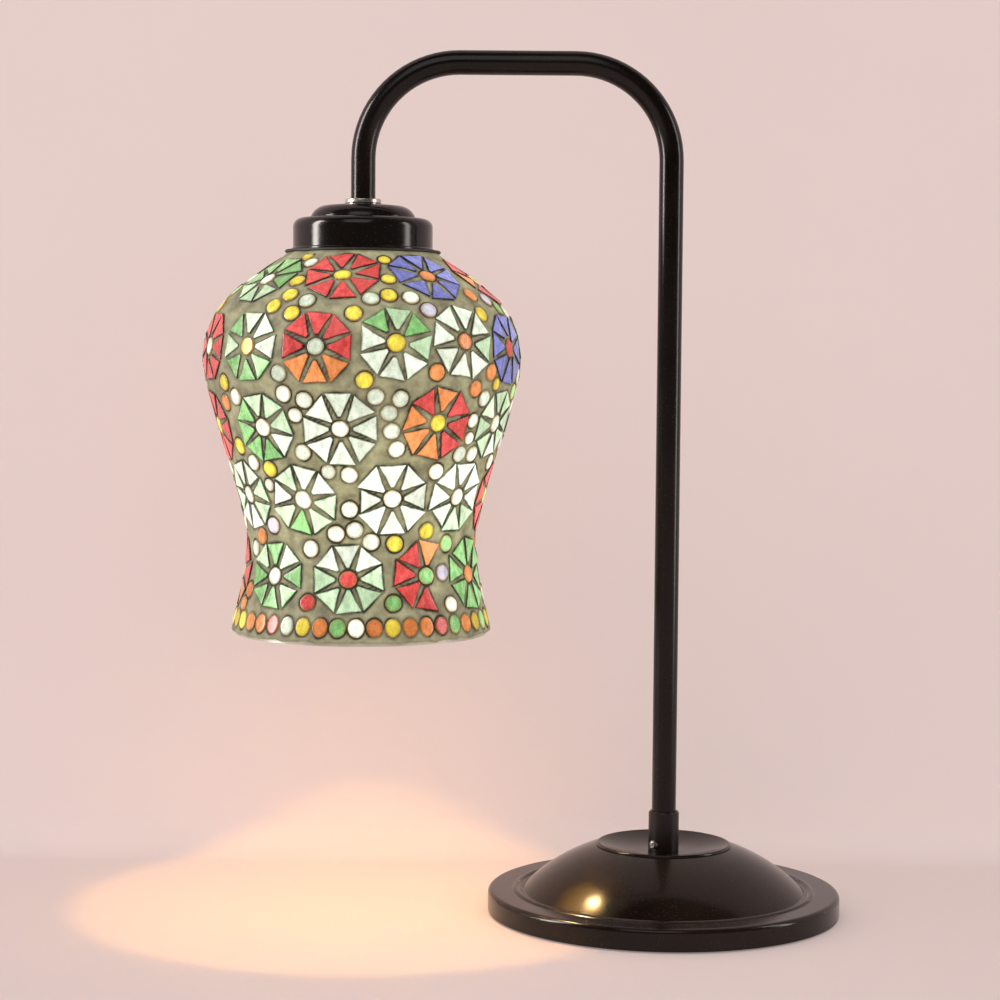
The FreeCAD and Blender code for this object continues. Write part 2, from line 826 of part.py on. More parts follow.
def cap_gasket():
    bottom = S.cap_bottom - S.gasket_thickness
    return turned("cap_gasket", [
        (S.gasket_inner, bottom),
        (S.gasket_outer - 0.5, bottom),
        (S.gasket_outer, bottom + 0.5),
        (S.gasket_outer, S.cap_bottom - 0.5),
        (S.gasket_outer - 0.5, S.cap_bottom),
        (S.gasket_inner, S.cap_bottom),
    ], x=axis_x())


# ---------------------------------------------------------------- lampholder


def holder_cap():
    wall = S.holder_wall
    joint = S.holder_joint
    dome = S.holder_dome_top
    neck = S.holder_neck_radius
    return turned("holder_cap", [
        (S.holder_radius, joint),
        (S.holder_radius, dome - 5.0),
        ("arc", S.holder_radius - 1.5, dome - 1.5),
        (S.holder_radius - 5.0, dome),
        (neck, dome),
        (neck, S.holder_top),
        (S.nipple_radius, S.holder_top),
        (S.nipple_radius, dome - 0.5),
        (S.nipple_radius + 1.0, dome - wall),
        (S.holder_radius - 5.0, dome - wall),
        ("arc", S.holder_radius - 3.0, dome - 3.0),
        (S.holder_radius - wall, dome - 5.0),
        (S.holder_radius - wall, joint),
    ], x=axis_x())


def holder_skirt():
    """The lampholder's outer barrel, with thread ridges that the shade ring runs on."""
    outer = S.holder_radius
    inner = outer - S.holder_wall
    bottom = S.holder_bottom
    ridge_step = 2.5
    ridge_depth = 0.35
    points = [
        (inner, S.holder_joint),
        (outer, S.holder_joint),
        (outer, S.holder_joint - 12.0),
    ]
    for i in range(7):
        level = S.holder_joint - 14.0 - ridge_step * i
        points.append((outer - ridge_depth, level))
        points.append((outer, level - ridge_step / 2.0))
    points += [
        (outer, bottom + 0.8),
        (outer - 0.8, bottom),
        (S.holder_mouth, bottom),
        (S.holder_mouth, bottom + 1.6),
        (inner, bottom + 1.6),
    ]
    return turned("holder_skirt", points, x=axis_x())


def holder_insert():
    """The porcelain core: a cup round the screw shell, closed by the terminal block."""
    cup = S.screw_shell_radius + S.screw_shell_wall
    return turned("holder_insert", [
        (0.0, S.insert_face),
        (0.0, S.insert_top),
        (S.insert_radius - 0.8, S.insert_top),
        (S.insert_radius, S.insert_top - 0.8),
        (S.insert_radius, S.insert_bottom),
        (S.holder_mouth - 0.4, S.insert_bottom),
        (S.holder_mouth - 0.4, S.insert_step),
        (cup, S.insert_step),
        (cup, S.insert_face),
    ], x=axis_x())


def screw_shell():
    inner = S.screw_shell_radius
    outer = inner + S.screw_shell_wall
    return turned("screw_shell", [
        (inner, S.insert_step + 0.6),
        (outer, S.insert_step + 0.6),
        (outer, S.insert_face),
        (inner - 4.0, S.insert_face),
        (inner - 4.0, S.insert_face - S.screw_shell_wall),
        (inner, S.insert_face - S.screw_shell_wall),
    ], x=axis_x())


def centre_contact():
    """A springy tongue: a small dome on a disc, under the terminal block."""
    top = S.insert_face
    return turned("centre_contact", [
        (0.0, top - 1.0),
        (1.6, top - 0.95),
        (4.2, top - 0.5),
        (4.2, top),
        (0.0, top),
    ], x=axis_x())


def terminal_screws():
    """Two screws that hold the lead's cores, standing in the terminal block."""
    fused = []
    for side in (-1.0, 1.0):
        head = doc.addObject("Part::Cylinder", "terminal_head")
        head.setExpression("Radius", S.terminal_head.text)
        head.Height = 2.0
        slot = doc.addObject("Part::Box", "terminal_slot")
        slot.Length = 8.0
        slot.Width = 0.8
        slot.Height = 2.0
        slot.Placement.Base = FreeCAD.Vector(-4.0, -0.4, 1.2)
        screw = doc.addObject("Part::Cut", "terminal_screw")
        screw.Base = head
        screw.Tool = slot
        screw.setExpression("Placement.Base.y", expression(S.terminal_spacing * side))
        fused.append(screw)
    pair = doc.addObject("Part::Compound", "terminal_screws")
    pair.Links = fused
    placed(pair, x=axis_x(), z=S.insert_top)
    return kept(pair, "terminal_screws")


def shade_ring():
    """The threaded ring under the glass, with finger notches round its edge."""
    top = S.glass_top - S.glass_wall
    bottom = top - S.ring_height
    bore = S.holder_radius + S.ring_clearance
    body = turned("shade_ring", [
        (bore, bottom - 3.0),
        (bore + 2.4, bottom - 3.0),
        (bore + 2.4, bottom),
        (S.ring_outer - 0.6, bottom),
        (S.ring_outer, bottom + 0.6),
        (S.ring_outer, top),
        (bore, top),
    ], x=axis_x())

    def notch(sketch):
        centre = FreeCAD.Vector(number(S.ring_outer) + 0.6, 0, 0)
        ring = sketch.addGeometry(Part.Circle(centre, FreeCAD.Vector(0, 0, 1), 1.6), False)
        sketch.addConstraint(Sketcher.Constraint("Radius", ring, 1.6))
        bind_point(sketch, ring, 3, S.ring_outer + 0.6, 0.0)

    pocket = cut_pocket(body, "finger_notch", "XY_Plane", notch, top + 5.0, reverse=True)
    pattern = body.newObject("PartDesign::PolarPattern", "finger_notches")
    pattern.Originals = [pocket]
    pattern.Axis = (origin_axis(body, "Z_Axis"), [""])
    pattern.Angle = 360
    pattern.Occurrences = 16
    body.Tip = pattern
    doc.recompute()
    return body


def origin_axis(body, role):
    return next(f for f in body.Origin.OriginFeatures if f.Role == role)


# ---------------------------------------------------------------- bulb


def bulb_contact():
    """The insulator and the solder button at the bulb's end."""
    base = S.bulb_cap_top
    return turned("bulb_contact", [
        (0.0, base - 1.0),
        (S.bulb_cap_radius - S.bulb_cap_wall - 0.4, base - 1.0),
        (S.bulb_cap_radius - S.bulb_cap_wall - 0.4, base),
        (8.6, base + 3.4),
        (5.0, base + 5.4),
        (4.4, S.bulb_contact_tip - 0.5),
        (0.0, S.bulb_contact_tip),
    ], x=axis_x())


def bulb_screw_cap():
    r = S.bulb_cap_radius
    wall = S.bulb_cap_wall
    return turned("bulb_screw_cap", [
        (r, S.bulb_cap_bottom),
        (r, S.bulb_cap_top - 1.2),
        (r - 0.6, S.bulb_cap_top - 0.05),
        (r - wall - 0.35, S.bulb_cap_top - 0.05),
        (r - wall - 0.35, S.bulb_cap_top - 1.1),
        (r - wall, S.bulb_cap_top - 1.1),
        (r - wall, S.bulb_cap_bottom),
    ], x=axis_x())


def bulb_housing():
    """The bulb's tapered plastic body between its screw cap and its globe."""
    wall = S.bulb_wall
    top = S.bulb_cap_bottom
    rim = S.bulb_waist
    return turned("bulb_housing", [
        (S.bulb_cap_radius - S.bulb_cap_wall, top + 6.0),
        (S.bulb_cap_radius - S.bulb_cap_wall, top),
        (S.bulb_collar_radius, top),
        (S.bulb_collar_radius, top - 3.0),
        ("arc", S.bulb_flank_radius, S.bulb_flank_height),
        (S.bulb_radius - 0.6, rim),
        (S.bulb_radius - 0.6 - wall, rim),
        ("arc", S.bulb_flank_radius - 1.6, S.bulb_flank_height + 0.2),
        (S.bulb_collar_radius - wall - 0.6, top - 3.0),
        (S.bulb_collar_radius - wall - 0.6, top + 6.0),
    ], x=axis_x())


def bulb_globe():
    """The opal diffuser: a dome a little over half a ball."""
    wall = S.bulb_wall
    ball = number(S.bulb_radius)
    tip = number(S.bulb_tip)
    centre = tip + ball
    rim = number(S.bulb_waist)
    rim_radius = math.sqrt(ball ** 2 - (rim - centre) ** 2)
    inner = ball - number(wall)
    inner_rim = math.sqrt(inner ** 2 - (rim - centre) ** 2)
    slant = math.sqrt(0.5)
    return turned("bulb_globe", [
        (rim_radius, rim),
        ("arc", ball * slant, centre - ball * slant),
        (0.0, S.bulb_tip),
        (0.0, S.bulb_tip + wall),
        ("arc", inner * slant, centre - inner * slant),
        (inner_rim, rim),
    ], x=axis_x())


def led_board():
    top = S.bulb_waist + 1.6
    return turned("led_board", [
        (0.0, S.bulb_waist),
        (S.bulb_board_radius, S.bulb_waist),
        (S.bulb_board_radius, top),
        (0.0, top),
    ], x=axis_x())


# ---------------------------------------------------------------- leads


def swept_round(label, edges, radius):
    """A round lead along straight runs and tangent arcs."""
    wire = Part.Wire([e.toShape() for e in edges])
    start = edges[0].value(edges[0].FirstParameter)
    heading = edges[0].value(edges[0].LastParameter) - start
    ring = Part.Wire([Part.makeCircle(radius, start, heading)])
    shape = wire.makePipeShell([ring], True, False)
    lead = doc.addObject("Part::Feature", label)
    lead.Shape = shape
    return kept(lead, label)


def stem_lead():
    """The lead inside the foot: from the grommet along the groove, and up the nipple."""
    radius = number(S.lead_radius)
    height = number(S.grommet_height)
    back = number(S.foot_radius) - number(S.shell_wall) - 1.6
    bend = number(S.lead_bend)
    top = number(plate_surface() + S.collar_web + 2.6)
    point = FreeCAD.Vector
    diagonal = bend * math.sqrt(0.5)
    centre = point(0, bend, height + bend)
    edges = [
        Part.LineSegment(point(0, back, height), point(0, bend, height)),
        Part.Arc(point(0, bend, height), centre + point(0, -diagonal, -diagonal),
                 point(0, 0, height + bend)),
        Part.LineSegment(point(0, 0, height + bend), point(0, 0, top)),
    ]
    return swept_round("stem_lead", edges, radius)


def neck_lead():
    """The lead inside the neck, from the collar to the lampholder."""
    def upright_point(x, z):
        return FreeCAD.Vector(x, 0, z)

    bottom = number(plate_surface() + S.collar_web + 3.0)
    end = number(S.stud_bottom) - 1.0
    edges = neck_line(bottom, end, upright_point)
    return swept_round("neck_lead", edges, number(S.lead_radius))


# ---------------------------------------------------------------- shade


def shade_curve(inset):
    """The shade's outline as one smooth curve, moved inwards by inset."""
    line = Part.BSplineCurve()
    line.interpolate([FreeCAD.Vector(r, 0, h) for h, r in SHADE_STATIONS])
    if not inset:
        return line
    moved = []
    steps = 24
    for i in range(steps + 1):
        u = line.FirstParameter + (line.LastParameter - line.FirstParameter) * i / steps
        here = line.value(u)
        along = line.tangent(u)[0]
        outward = FreeCAD.Vector(-along.z, 0, along.x)
        if outward.x < 0:
            outward = outward * -1
        moved.append(here - outward * inset)
    offset = Part.BSplineCurve()
    offset.interpolate(moved)
    return offset


class Outline:
    """Radius, slope and length along the shade's outline, looked up by height."""

    def __init__(self, inset):
        self.curve = shade_curve(inset)
        self.first = self.curve.FirstParameter
        self.last = self.curve.LastParameter

    def parameter(self, height):
        low, high = self.first, self.last
        for _ in range(50):
            middle = (low + high) / 2
            if self.curve.value(middle).z > height:
                low = middle
            else:
                high = middle
        return (low + high) / 2

    def stepped(self, u, distance):
        """The parameter at a distance up the outline from u."""
        step = distance / 12
        for _ in range(12):
            speed = self.curve.getD1(u)[1].Length
            u -= step / speed
        return u

    def point(self, u, angle):
        """A point of the surface. Angle 0 faces -Y, and +X is at 90 degrees."""
        here = self.curve.value(u)
        return FreeCAD.Vector(here.x * math.sin(angle), -here.x * math.cos(angle), here.z)

    def normal(self, u, angle):
        along = self.curve.tangent(u)[0]
        out, up = -along.z, along.x
        if out < 0:
            out, up = -out, -up
        return FreeCAD.Vector(out * math.sin(angle), -out * math.cos(angle), up)

    def radius(self, u):
        return self.curve.value(u).x


def shell_between(outer, inner, label):
    """Turns the face between two outlines, each a list of edges from the top down."""
    outer_wire = list(outer)
    inner_wire = list(inner)
    top = Part.LineSegment(inner_wire[0].value(inner_wire[0].FirstParameter),
                           outer_wire[0].value(outer_wire[0].FirstParameter))
    bottom = Part.LineSegment(outer_wire[-1].value(outer_wire[-1].LastParameter),
                              inner_wire[-1].value(inner_wire[-1].LastParameter))
    edges = [e.toShape() for e in outer_wire + inner_wire + [top, bottom]]
    face = Part.Face(Part.Wire(Part.__sortEdges__(edges)))
    solid = face.revolve(FreeCAD.Vector(), FreeCAD.Vector(0, 0, 1), 360)
    shape = doc.addObject("Part::Feature", label)
    shape.Shape = solid
    shape.Placement = FreeCAD.Placement(
        FreeCAD.Vector(-number(S.neck_reach), 0, 0), FreeCAD.Rotation())
    return kept(shape, label)


def glass_outline(inset):
    """The glass's outline: a flat top with its hole, a small shoulder, and the long curve."""
    top = number(S.glass_top) - inset
    curve = shade_curve(number(S.tile_thickness) + number(S.grout_thickness) + inset)
    start = curve.value(curve.FirstParameter)
    flat_end = FreeCAD.Vector(start.x - 3.4, 0, top)
    heading = curve.tangent(curve.FirstParameter)[0]
    shoulder = Part.BezierCurve()
    shoulder.setPoles([flat_end, flat_end + FreeCAD.Vector(1.3, 0, 0),
                       start - heading * 1.3, start])
    hole = FreeCAD.Vector(number(S.glass_hole), 0, top)
    return [Part.LineSegment(hole, flat_end), shoulder, trimmed(curve, number(S.glass_rim))]


def trimmed(curve, bottom):
    """The curve cut off at a height."""
    low, high = curve.FirstParameter, curve.LastParameter
    for _ in range(50):
        middle = (low + high) / 2
        if curve.value(middle).z > bottom:
            low = middle
        else:
            high = middle
    cut = curve.copy()
    if high < curve.LastParameter - 1e-6:
        cut.segment(curve.FirstParameter, low)
    return cut


def shade_glass():
    return shell_between(glass_outline(0.0), glass_outline(number(S.glass_wall)), "shade_glass")


def shade_grout():
    """The grout between the tiles, as a skin on the glass."""
    tile = number(S.tile_thickness)
    outer = trimmed(shade_curve(tile), number(S.grout_rim))
    inner = trimmed(shade_curve(tile + number(S.grout_thickness)), number(S.grout_rim))
    return shell_between([outer], [inner], "shade_grout")


class Tile:
    """The footprint of one tile: its corners, and which way it faces."""

    def __init__(self, corners, normal):
        self.corners = corners
        self.normal = normal
        self.middle = sum(corners, FreeCAD.Vector()) * (1.0 / len(corners))
        self.reach = max((corner - self.middle).Length for corner in corners)
        rise = normal * number(S.tile_thickness)
        self.all_corners = corners + [corner + rise for corner in corners]

    def clears(self, other, gap):
        """Whether a straight joint of at least this width fits between two tiles."""
        if (self.middle - other.middle).Length > self.reach + other.reach + gap + 1.0:
            return True
        view = self.normal + other.normal
        for tile in (self, other):
            for i, corner in enumerate(tile.corners):
                across = view.cross(tile.corners[i - 1] - corner)
                across.normalize()
                mine = [place.dot(across) for place in self.all_corners]
                theirs = [place.dot(across) for place in other.all_corners]
                if min(mine) - max(theirs) > gap or min(theirs) - max(mine) > gap:
                    return True
        return False


def clipped(corners, outward, limit):
    """The part of an outline that lies at least limit out from the axis."""
    kept_corners = []
    for i, here in enumerate(corners):
        before = corners[i - 1]
        inside, was_inside = here.dot(outward) >= limit, before.dot(outward) >= limit
        if inside != was_inside:
            share = (limit - before.dot(outward)) / (here - before).dot(outward)
            kept_corners.append(before + (here - before) * share)
        if inside:
            kept_corners.append(here)
    return kept_corners


class Mosaic:
    """Collects the tiles by kind and colour, as separate solids."""

    def __init__(self):
        self.surface = Outline(number(S.tile_thickness))
        self.groups = {}
        self.laid = []
        self.jitter = random.Random(11)
        self.inner_limit = number(S.gasket_outer) + 0.5

    def fits(self, tile):
        return all(tile.clears(other, number(S.tile_gap)) for other in self.laid)

    def lay(self, kind, letter, tile, face):
        """Keeps a tile: its face raised to the tile's thickness."""
        rise = number(S.tile_thickness) - number(S.tile_seat)
        self.laid.append(tile)
        self.groups.setdefault(f"{kind}_{COLOURS[letter]}", []).append(
            face.extrude(tile.normal * rise))

    def spread(self, u, angle, across, up):
        """The point reached by going across and up over the surface from (u, angle)."""
        there = self.surface.stepped(u, up)
        turn = across / self.surface.radius(there)
        return there, angle + turn

    def flat_outline(self, corners):
        """The corners of a tile laid on the plane that touches the surface under its middle. Where
        the surface is hollow, the plane is raised to clear it at the corners and between them."""
        u = sum(c[0] for c in corners) / len(corners)
        angle = sum(c[1] for c in corners) / len(corners)
        middle = self.surface.point(u, angle)
        normal = self.surface.normal(u, angle)
        places = [self.surface.point(*corner) for corner in corners]
        between = [self.surface.point((corner[0] + corners[i - 1][0]) / 2,
                                      (corner[1] + corners[i - 1][1]) / 2)
                   for i, corner in enumerate(corners)]
        hollow = max((place - middle).dot(normal) for place in places + between)
        seat = number(S.tile_seat) + max(0.0, hollow)
        flat = [place - normal * ((place - middle).dot(normal) - seat) for place in places]
        outward = FreeCAD.Vector(math.sin(angle), -math.cos(angle), 0)
        return clipped(flat, outward, self.inner_limit), normal

    def petal(self, u, angle, direction, letter, outer, half):
        """One wedge of a flower, its point towards the flower's centre. It is cut smaller where
        a neighbour is in the way."""
        draw = self.jitter.uniform
        inner = number(S.petal_inner) * draw(0.9, 1.15)
        outer = outer * draw(0.975, 1.025)
        half = half * draw(0.96, 1.02)
        lean = draw(-0.6, 0.6)
        tip = draw(0.5, 0.9)
        cosine, sine = math.cos(direction), math.sin(direction)
        for share in (1.0, 0.95, 0.9, 0.85, 0.8, 0.75, 0.7, 0.65):
            far, wide = outer * share, half * share
            corners = []
            for along, side in ((inner, -tip), (far + lean, -wide), (far - lean, wide),
                                (inner, tip)):
                across = along * sine + side * cosine
                up = along * cosine - side * sine
                corners.append(self.spread(u, angle, across, up))
            flat, normal = self.flat_outline(corners)
            if len(flat) < 3:
                return
            tile = Tile(flat, normal)
            face = Part.Face(Part.makePolygon(flat + [flat[0]]))
            if face.Area < number(S.smallest_tile):
                return
            if self.fits(tile):
                self.lay("petals", letter, tile, face)
                return

    def round_tile(self, u, angle, radius, stretch):
        """The footprint and the face of a round tile, or of an upright oval one."""
        normal = self.surface.normal(u, angle)
        foot = self.surface.point(u, angle) + normal * number(S.tile_seat)
        sideways = FreeCAD.Vector(math.cos(angle), math.sin(angle), 0)
        upright = normal.cross(sideways)
        sides = 16
        around = radius / math.cos(math.pi / sides)
        corners = []
        for i in range(sides):
            turn = 2 * math.pi * i / sides
            corners.append(foot + sideways * around * math.cos(turn)
                           + upright * around * stretch * math.sin(turn))
        outward = FreeCAD.Vector(math.sin(angle), -math.cos(angle), 0)
        outer_part = clipped(corners, outward, self.inner_limit)
        if len(outer_part) != sides:
            if len(outer_part) < 6:
                return None, None
            wire = Part.makePolygon(outer_part + [outer_part[0]])
            return Tile(outer_part, normal), Part.Face(wire)
        if stretch == 1.0:
            edge = Part.Circle(foot, normal, radius)
        else:
            edge = Part.Ellipse(foot + upright * radius * stretch, foot + sideways * radius, foot)
        return Tile(corners, normal), Part.Face(Part.Wire(edge.toShape()))

    def dot(self, u, angle, radius, kind, letter, stretch=1.0):
        """Lays a round tile if there is room for it."""
        tile, face = self.round_tile(u, angle, radius, stretch)
        if not tile or not self.fits(tile):
            return False
        self.lay(kind, letter, tile, face)
        return True

    def dot_near(self, angle_degrees, height, letter):
        """Lays a hand-set dot at the free spot nearest its place, smaller if need be."""
        u = self.surface.parameter(height)
        angle = math.radians(angle_degrees)
        full = number(S.chip_radius)
        for radius, furthest in ((full, 5), (full * 0.88, 7), (full * 0.76, 10)):
            for step in range(furthest):
                for k in range(12 if step else 1):
                    turn = 2 * math.pi * k / 12
                    away = step * 0.6
                    there = self.spread(u, angle, away * math.cos(turn), away * math.sin(turn))
                    if self.dot(*there, radius, "dots", letter):
                        return

    def flower(self, angle_degrees, height, petals, centre):
        u = self.surface.parameter(height)
        angle = math.radians(angle_degrees)
        draw = self.jitter.uniform
        turn = draw(-0.2, 0.2)
        outer = number(S.petal_outer) * draw(0.95, 1.04)
        half = outer * number(S.petal_width / S.petal_outer) / 2 * draw(0.95, 1.02)
        self.dot(u, angle, number(S.dot_radius) * draw(0.94, 1.03), "dots", centre)
        for i, letter in enumerate(petals):
            if letter != ".":
                direction = 2 * math.pi * i / len(petals) + turn
                self.petal(u, angle, direction, letter, outer, half)

    def rim(self):
        u = self.surface.parameter(number(S.rim_dot_height))
        for i in range(RIM_DOTS):
            letter = RIM_SEQUENCE[i % len(RIM_SEQUENCE)]
            angle = math.radians(RIM_START_ANGLE + 360.0 / RIM_DOTS * i)
            self.dot(u, angle, number(S.rim_dot_radius), "rim_dots", letter,
                     number(S.rim_dot_stretch))

    def free_spots(self):
        """Dots for the sides and the back: every spot with room for one."""
        radius = number(S.chip_radius)
        placed_dots = 0
        level = 336.0
        while level > 164.0:
            u = self.surface.parameter(level)
            count = int(2 * math.pi * self.surface.radius(u) / 4.0)
            for i in range(count):
                angle = 2 * math.pi * i / count
                if math.cos(angle) > math.cos(math.radians(HAND_SET_ANGLE)):
                    continue
                here = self.surface.point(u, angle)
                if any((here - tile.middle).Length < radius + 3.4 for tile in self.laid):
                    continue
                letter = BACK_DOT_COLOURS[placed_dots % len(BACK_DOT_COLOURS)]
                if self.dot(u, angle, radius, "dots", letter):
                    placed_dots += 1
            level -= 2.0


def mosaic_tiles():
    mosaic = Mosaic()
    mosaic.rim()
    for angle_degrees, height, petals, centre in FLOWERS:
        mosaic.flower(angle_degrees, height, petals, centre)
    for angle_degrees, height, letter in LOOSE_DOTS:
        mosaic.dot_near(angle_degrees, height, letter)
    mosaic.free_spots()
    for name, solids in sorted(mosaic.groups.items()):
        group = doc.addObject("Part::Feature", name)
        group.Shape = Part.makeCompound(solids)
        group.Placement = FreeCAD.Placement(
            FreeCAD.Vector(-number(S.neck_reach), 0, 0), FreeCAD.Rotation())
        kept(group, name)


# ---------------------------------------------------------------- the lamp


def check_and_export():
    doc.recompute()
    faults = []
    for obj in doc.Objects:
        if "Invalid" in obj.State or "Error" in obj.State:
            faults.append(f"{obj.Name} {obj.State}")
    for obj in subparts:
        if obj.Shape.isNull() or not obj.Shape.isValid():
            faults.append(f"{obj.Label} has no sound shape")
    if faults:
        raise RuntimeError("; ".join(faults))
    os.makedirs("parts", exist_ok=True)
    for obj in subparts:
        obj.Shape.exportStep(os.path.join("parts", f"{obj.Label}.step"))


def build():
    shell = base_shell()
    grommet_hole(shell)
    base_weight()
    base_pad()
    cord_grommet()
    recess_top = S.pad_thickness + S.recess_height
    stem_nipple()
    stem_washer()
    hex_nut("stem_nut", S.nut_flats, S.nut_height, S.nipple_radius, 0.0,
            recess_top - S.washer_thickness - S.nut_height)
    collar_screw_hole(stem_collar())
    set_screw()
    stem_lead()
    arm_tube()
    arm_end_stud()
    check_ring()
    shade_cap()
    cap_inside = S.drop_end - S.check_ring_height - S.cap_wall
    hex_nut("cap_lock_nut", S.nut_flats, S.lock_nut_height, S.nipple_radius, axis_x(),
            cap_inside - S.lock_nut_height)
    cap_gasket()
    holder_cap()
    holder_skirt()
    holder_insert()
    screw_shell()
    centre_contact()
    terminal_screws()
    shade_ring()
    neck_lead()
    bulb_contact()
    bulb_screw_cap()
    bulb_housing()
    bulb_globe()
    led_board()
    shade_glass()
    shade_grout()
    mosaic_tiles()
    check_and_export()


build()
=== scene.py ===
import math
import random

import bmesh
import bpy
import numpy as np
from mathutils import Matrix, Vector, noise
from mathutils.bvhtree import BVHTree
from mathutils.kdtree import KDTree


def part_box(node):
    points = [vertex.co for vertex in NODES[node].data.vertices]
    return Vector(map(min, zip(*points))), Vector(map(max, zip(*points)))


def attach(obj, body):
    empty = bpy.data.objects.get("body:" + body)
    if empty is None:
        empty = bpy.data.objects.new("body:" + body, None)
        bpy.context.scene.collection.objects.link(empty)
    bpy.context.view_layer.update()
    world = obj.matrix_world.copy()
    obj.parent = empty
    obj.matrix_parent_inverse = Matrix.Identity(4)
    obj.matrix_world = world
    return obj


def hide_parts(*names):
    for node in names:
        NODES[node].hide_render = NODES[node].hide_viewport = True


# A mosaic glass table lamp, lit, on a pale floor that sweeps up into a wall. Metres, +Z up.
# The foot, neck and cap, the glass blank, the lampholder and the bulb are the frame's own nodes.
# The glass pieces and the grout are rebuilt here from the frame's nodes, with cut edges and worn
# joints. Their meshes carry marks that say how they glow, and the bulb's light makes the pool.

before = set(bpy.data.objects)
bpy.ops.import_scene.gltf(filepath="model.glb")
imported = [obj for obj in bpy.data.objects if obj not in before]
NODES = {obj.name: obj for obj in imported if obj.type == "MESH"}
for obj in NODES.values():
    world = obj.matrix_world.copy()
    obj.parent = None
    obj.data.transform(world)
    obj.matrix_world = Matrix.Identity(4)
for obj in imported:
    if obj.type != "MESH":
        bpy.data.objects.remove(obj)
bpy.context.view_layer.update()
MM = 0.001


def middle(node):
    """The middle of a node's box."""
    low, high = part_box(node)
    return (low + high) / 2


# The shade stands about the vertical line through AXIS. BULB is the middle of the bulb's globe, and
# GLOW, near the globe's tip, is where the light behind the mosaic is reckoned from.
AXIS = middle("shade_glass")
GLOBE_LOW, GLOBE_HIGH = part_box("bulb_globe")
GLOBE_RADIUS = (GLOBE_HIGH.x - GLOBE_LOW.x) / 2
BULB = Vector((AXIS.x, AXIS.y, GLOBE_LOW.z + GLOBE_RADIUS))
GLOW = BULB - Vector((0, 0, 24 * MM))


# ---------------------------------------------------------------- materials


class Look:
    """A material under construction: a Principled shader and the nodes that feed it."""

    def __init__(self, name):
        self.material = bpy.data.materials.new(name)
        self.material.use_nodes = True
        self.tree = self.material.node_tree
        self.tree.nodes.clear()
        self.shader = self.tree.nodes.new("ShaderNodeBsdfPrincipled")
        self.output = self.tree.nodes.new("ShaderNodeOutputMaterial")
        self.tree.links.new(self.shader.outputs[0], self.output.inputs["Surface"])
        self.place = self.add("ShaderNodeTexCoord").outputs["Object"]

    def add(self, kind, **settings):
        node = self.tree.nodes.new(kind)
        for key, value in settings.items():
            setattr(node, key, value)
        return node

    def feed(self, socket, value):
        if isinstance(value, bpy.types.NodeSocket):
            self.tree.links.new(value, socket)
        elif hasattr(value, "__len__") and len(value) == 3 and socket.type == "RGBA":
            socket.default_value = (*value, 1.0)
        else:
            socket.default_value = value

    def set(self, **inputs):
        """Feeds the shader's sockets, named with underscores."""
        for key, value in inputs.items():
            self.feed(self.shader.inputs[key.replace("_", " ")], value)

    def noise(self, size, detail=2.0, roughness=0.5, place=None):
        node = self.add("ShaderNodeTexNoise")
        self.feed(node.inputs["Vector"], place or self.place)
        node.inputs["Scale"].default_value = 1 / size
        node.inputs["Detail"].default_value = detail
        node.inputs["Roughness"].default_value = roughness
        return node.outputs["Fac"]

    def cells(self, size):
        node = self.add("ShaderNodeTexVoronoi", feature="F1")
        self.feed(node.inputs["Vector"], self.place)
        node.inputs["Scale"].default_value = 1 / size
        return node.outputs["Distance"]

    def stretched(self, x, y, z):
        """The place on the object, scaled by axis: under 1 draws a pattern out along that axis."""
        node = self.add("ShaderNodeVectorMath", operation="MULTIPLY")
        self.feed(node.inputs[0], self.place)
        node.inputs[1].default_value = (x, y, z)
        return node.outputs[0]

    def span(self, value, low, high, to_low=0.0, to_high=1.0):
        """Maps low..high to to_low..to_high, held at both ends."""
        node = self.add("ShaderNodeMapRange")
        self.feed(node.inputs["Value"], value)
        node.inputs["From Min"].default_value = low
        node.inputs["From Max"].default_value = high
        node.inputs["To Min"].default_value = to_low
        node.inputs["To Max"].default_value = to_high
        return node.outputs["Result"]

    def combine(self, operation, a, b):
        node = self.add("ShaderNodeMath", operation=operation)
        self.feed(node.inputs[0], a)
        self.feed(node.inputs[1], b)
        return node.outputs[0]

    def mix(self, factor, a, b):
        node = self.add("ShaderNodeMix", data_type="RGBA")
        self.feed(node.inputs["Factor"], factor)
        self.feed(node.inputs[6], a)
        self.feed(node.inputs[7], b)
        return node.outputs[2]

    def attribute(self, name):
        """A mark that the mesh carries at each of its points."""
        return self.add("ShaderNodeAttribute", attribute_name=name).outputs["Fac"]

    def bump(self, height, strength, distance):
        node = self.add("ShaderNodeBump")
        self.feed(node.inputs["Height"], height)
        node.inputs["Strength"].default_value = strength
        node.inputs["Distance"].default_value = distance
        self.set(Normal=node.outputs[0])


def lacquer(name, colour, worn, roughness, grain, shine=0.3):
    """Sprayed gloss paint on steel: orange peel, a little dust, and a drift in its gloss."""
    look = Look(name)
    dust_colour = (0.10, 0.085, 0.07)
    drift = look.noise(38 * MM, 3.0)
    dust = look.span(look.noise(0.7 * MM, 1.0), 0.68, 0.76)
    base = look.mix(look.span(drift, 0.35, 0.7), colour, worn)
    look.set(Base_Color=look.mix(look.combine("MULTIPLY", dust, 0.25), base, dust_colour))
    rough = look.span(drift, 0.3, 0.7, roughness * 0.85, roughness * 1.2)
    look.set(Roughness=look.combine("ADD", rough, look.combine("MULTIPLY", dust, 0.2)))
    look.set(Specular_IOR_Level=shine, IOR=1.5)
    peel = look.combine("ADD", look.noise(1.6 * MM, 1.0), look.combine("MULTIPLY", dust, 0.5))
    look.bump(peel, grain, 0.05 * MM)
    return look.material


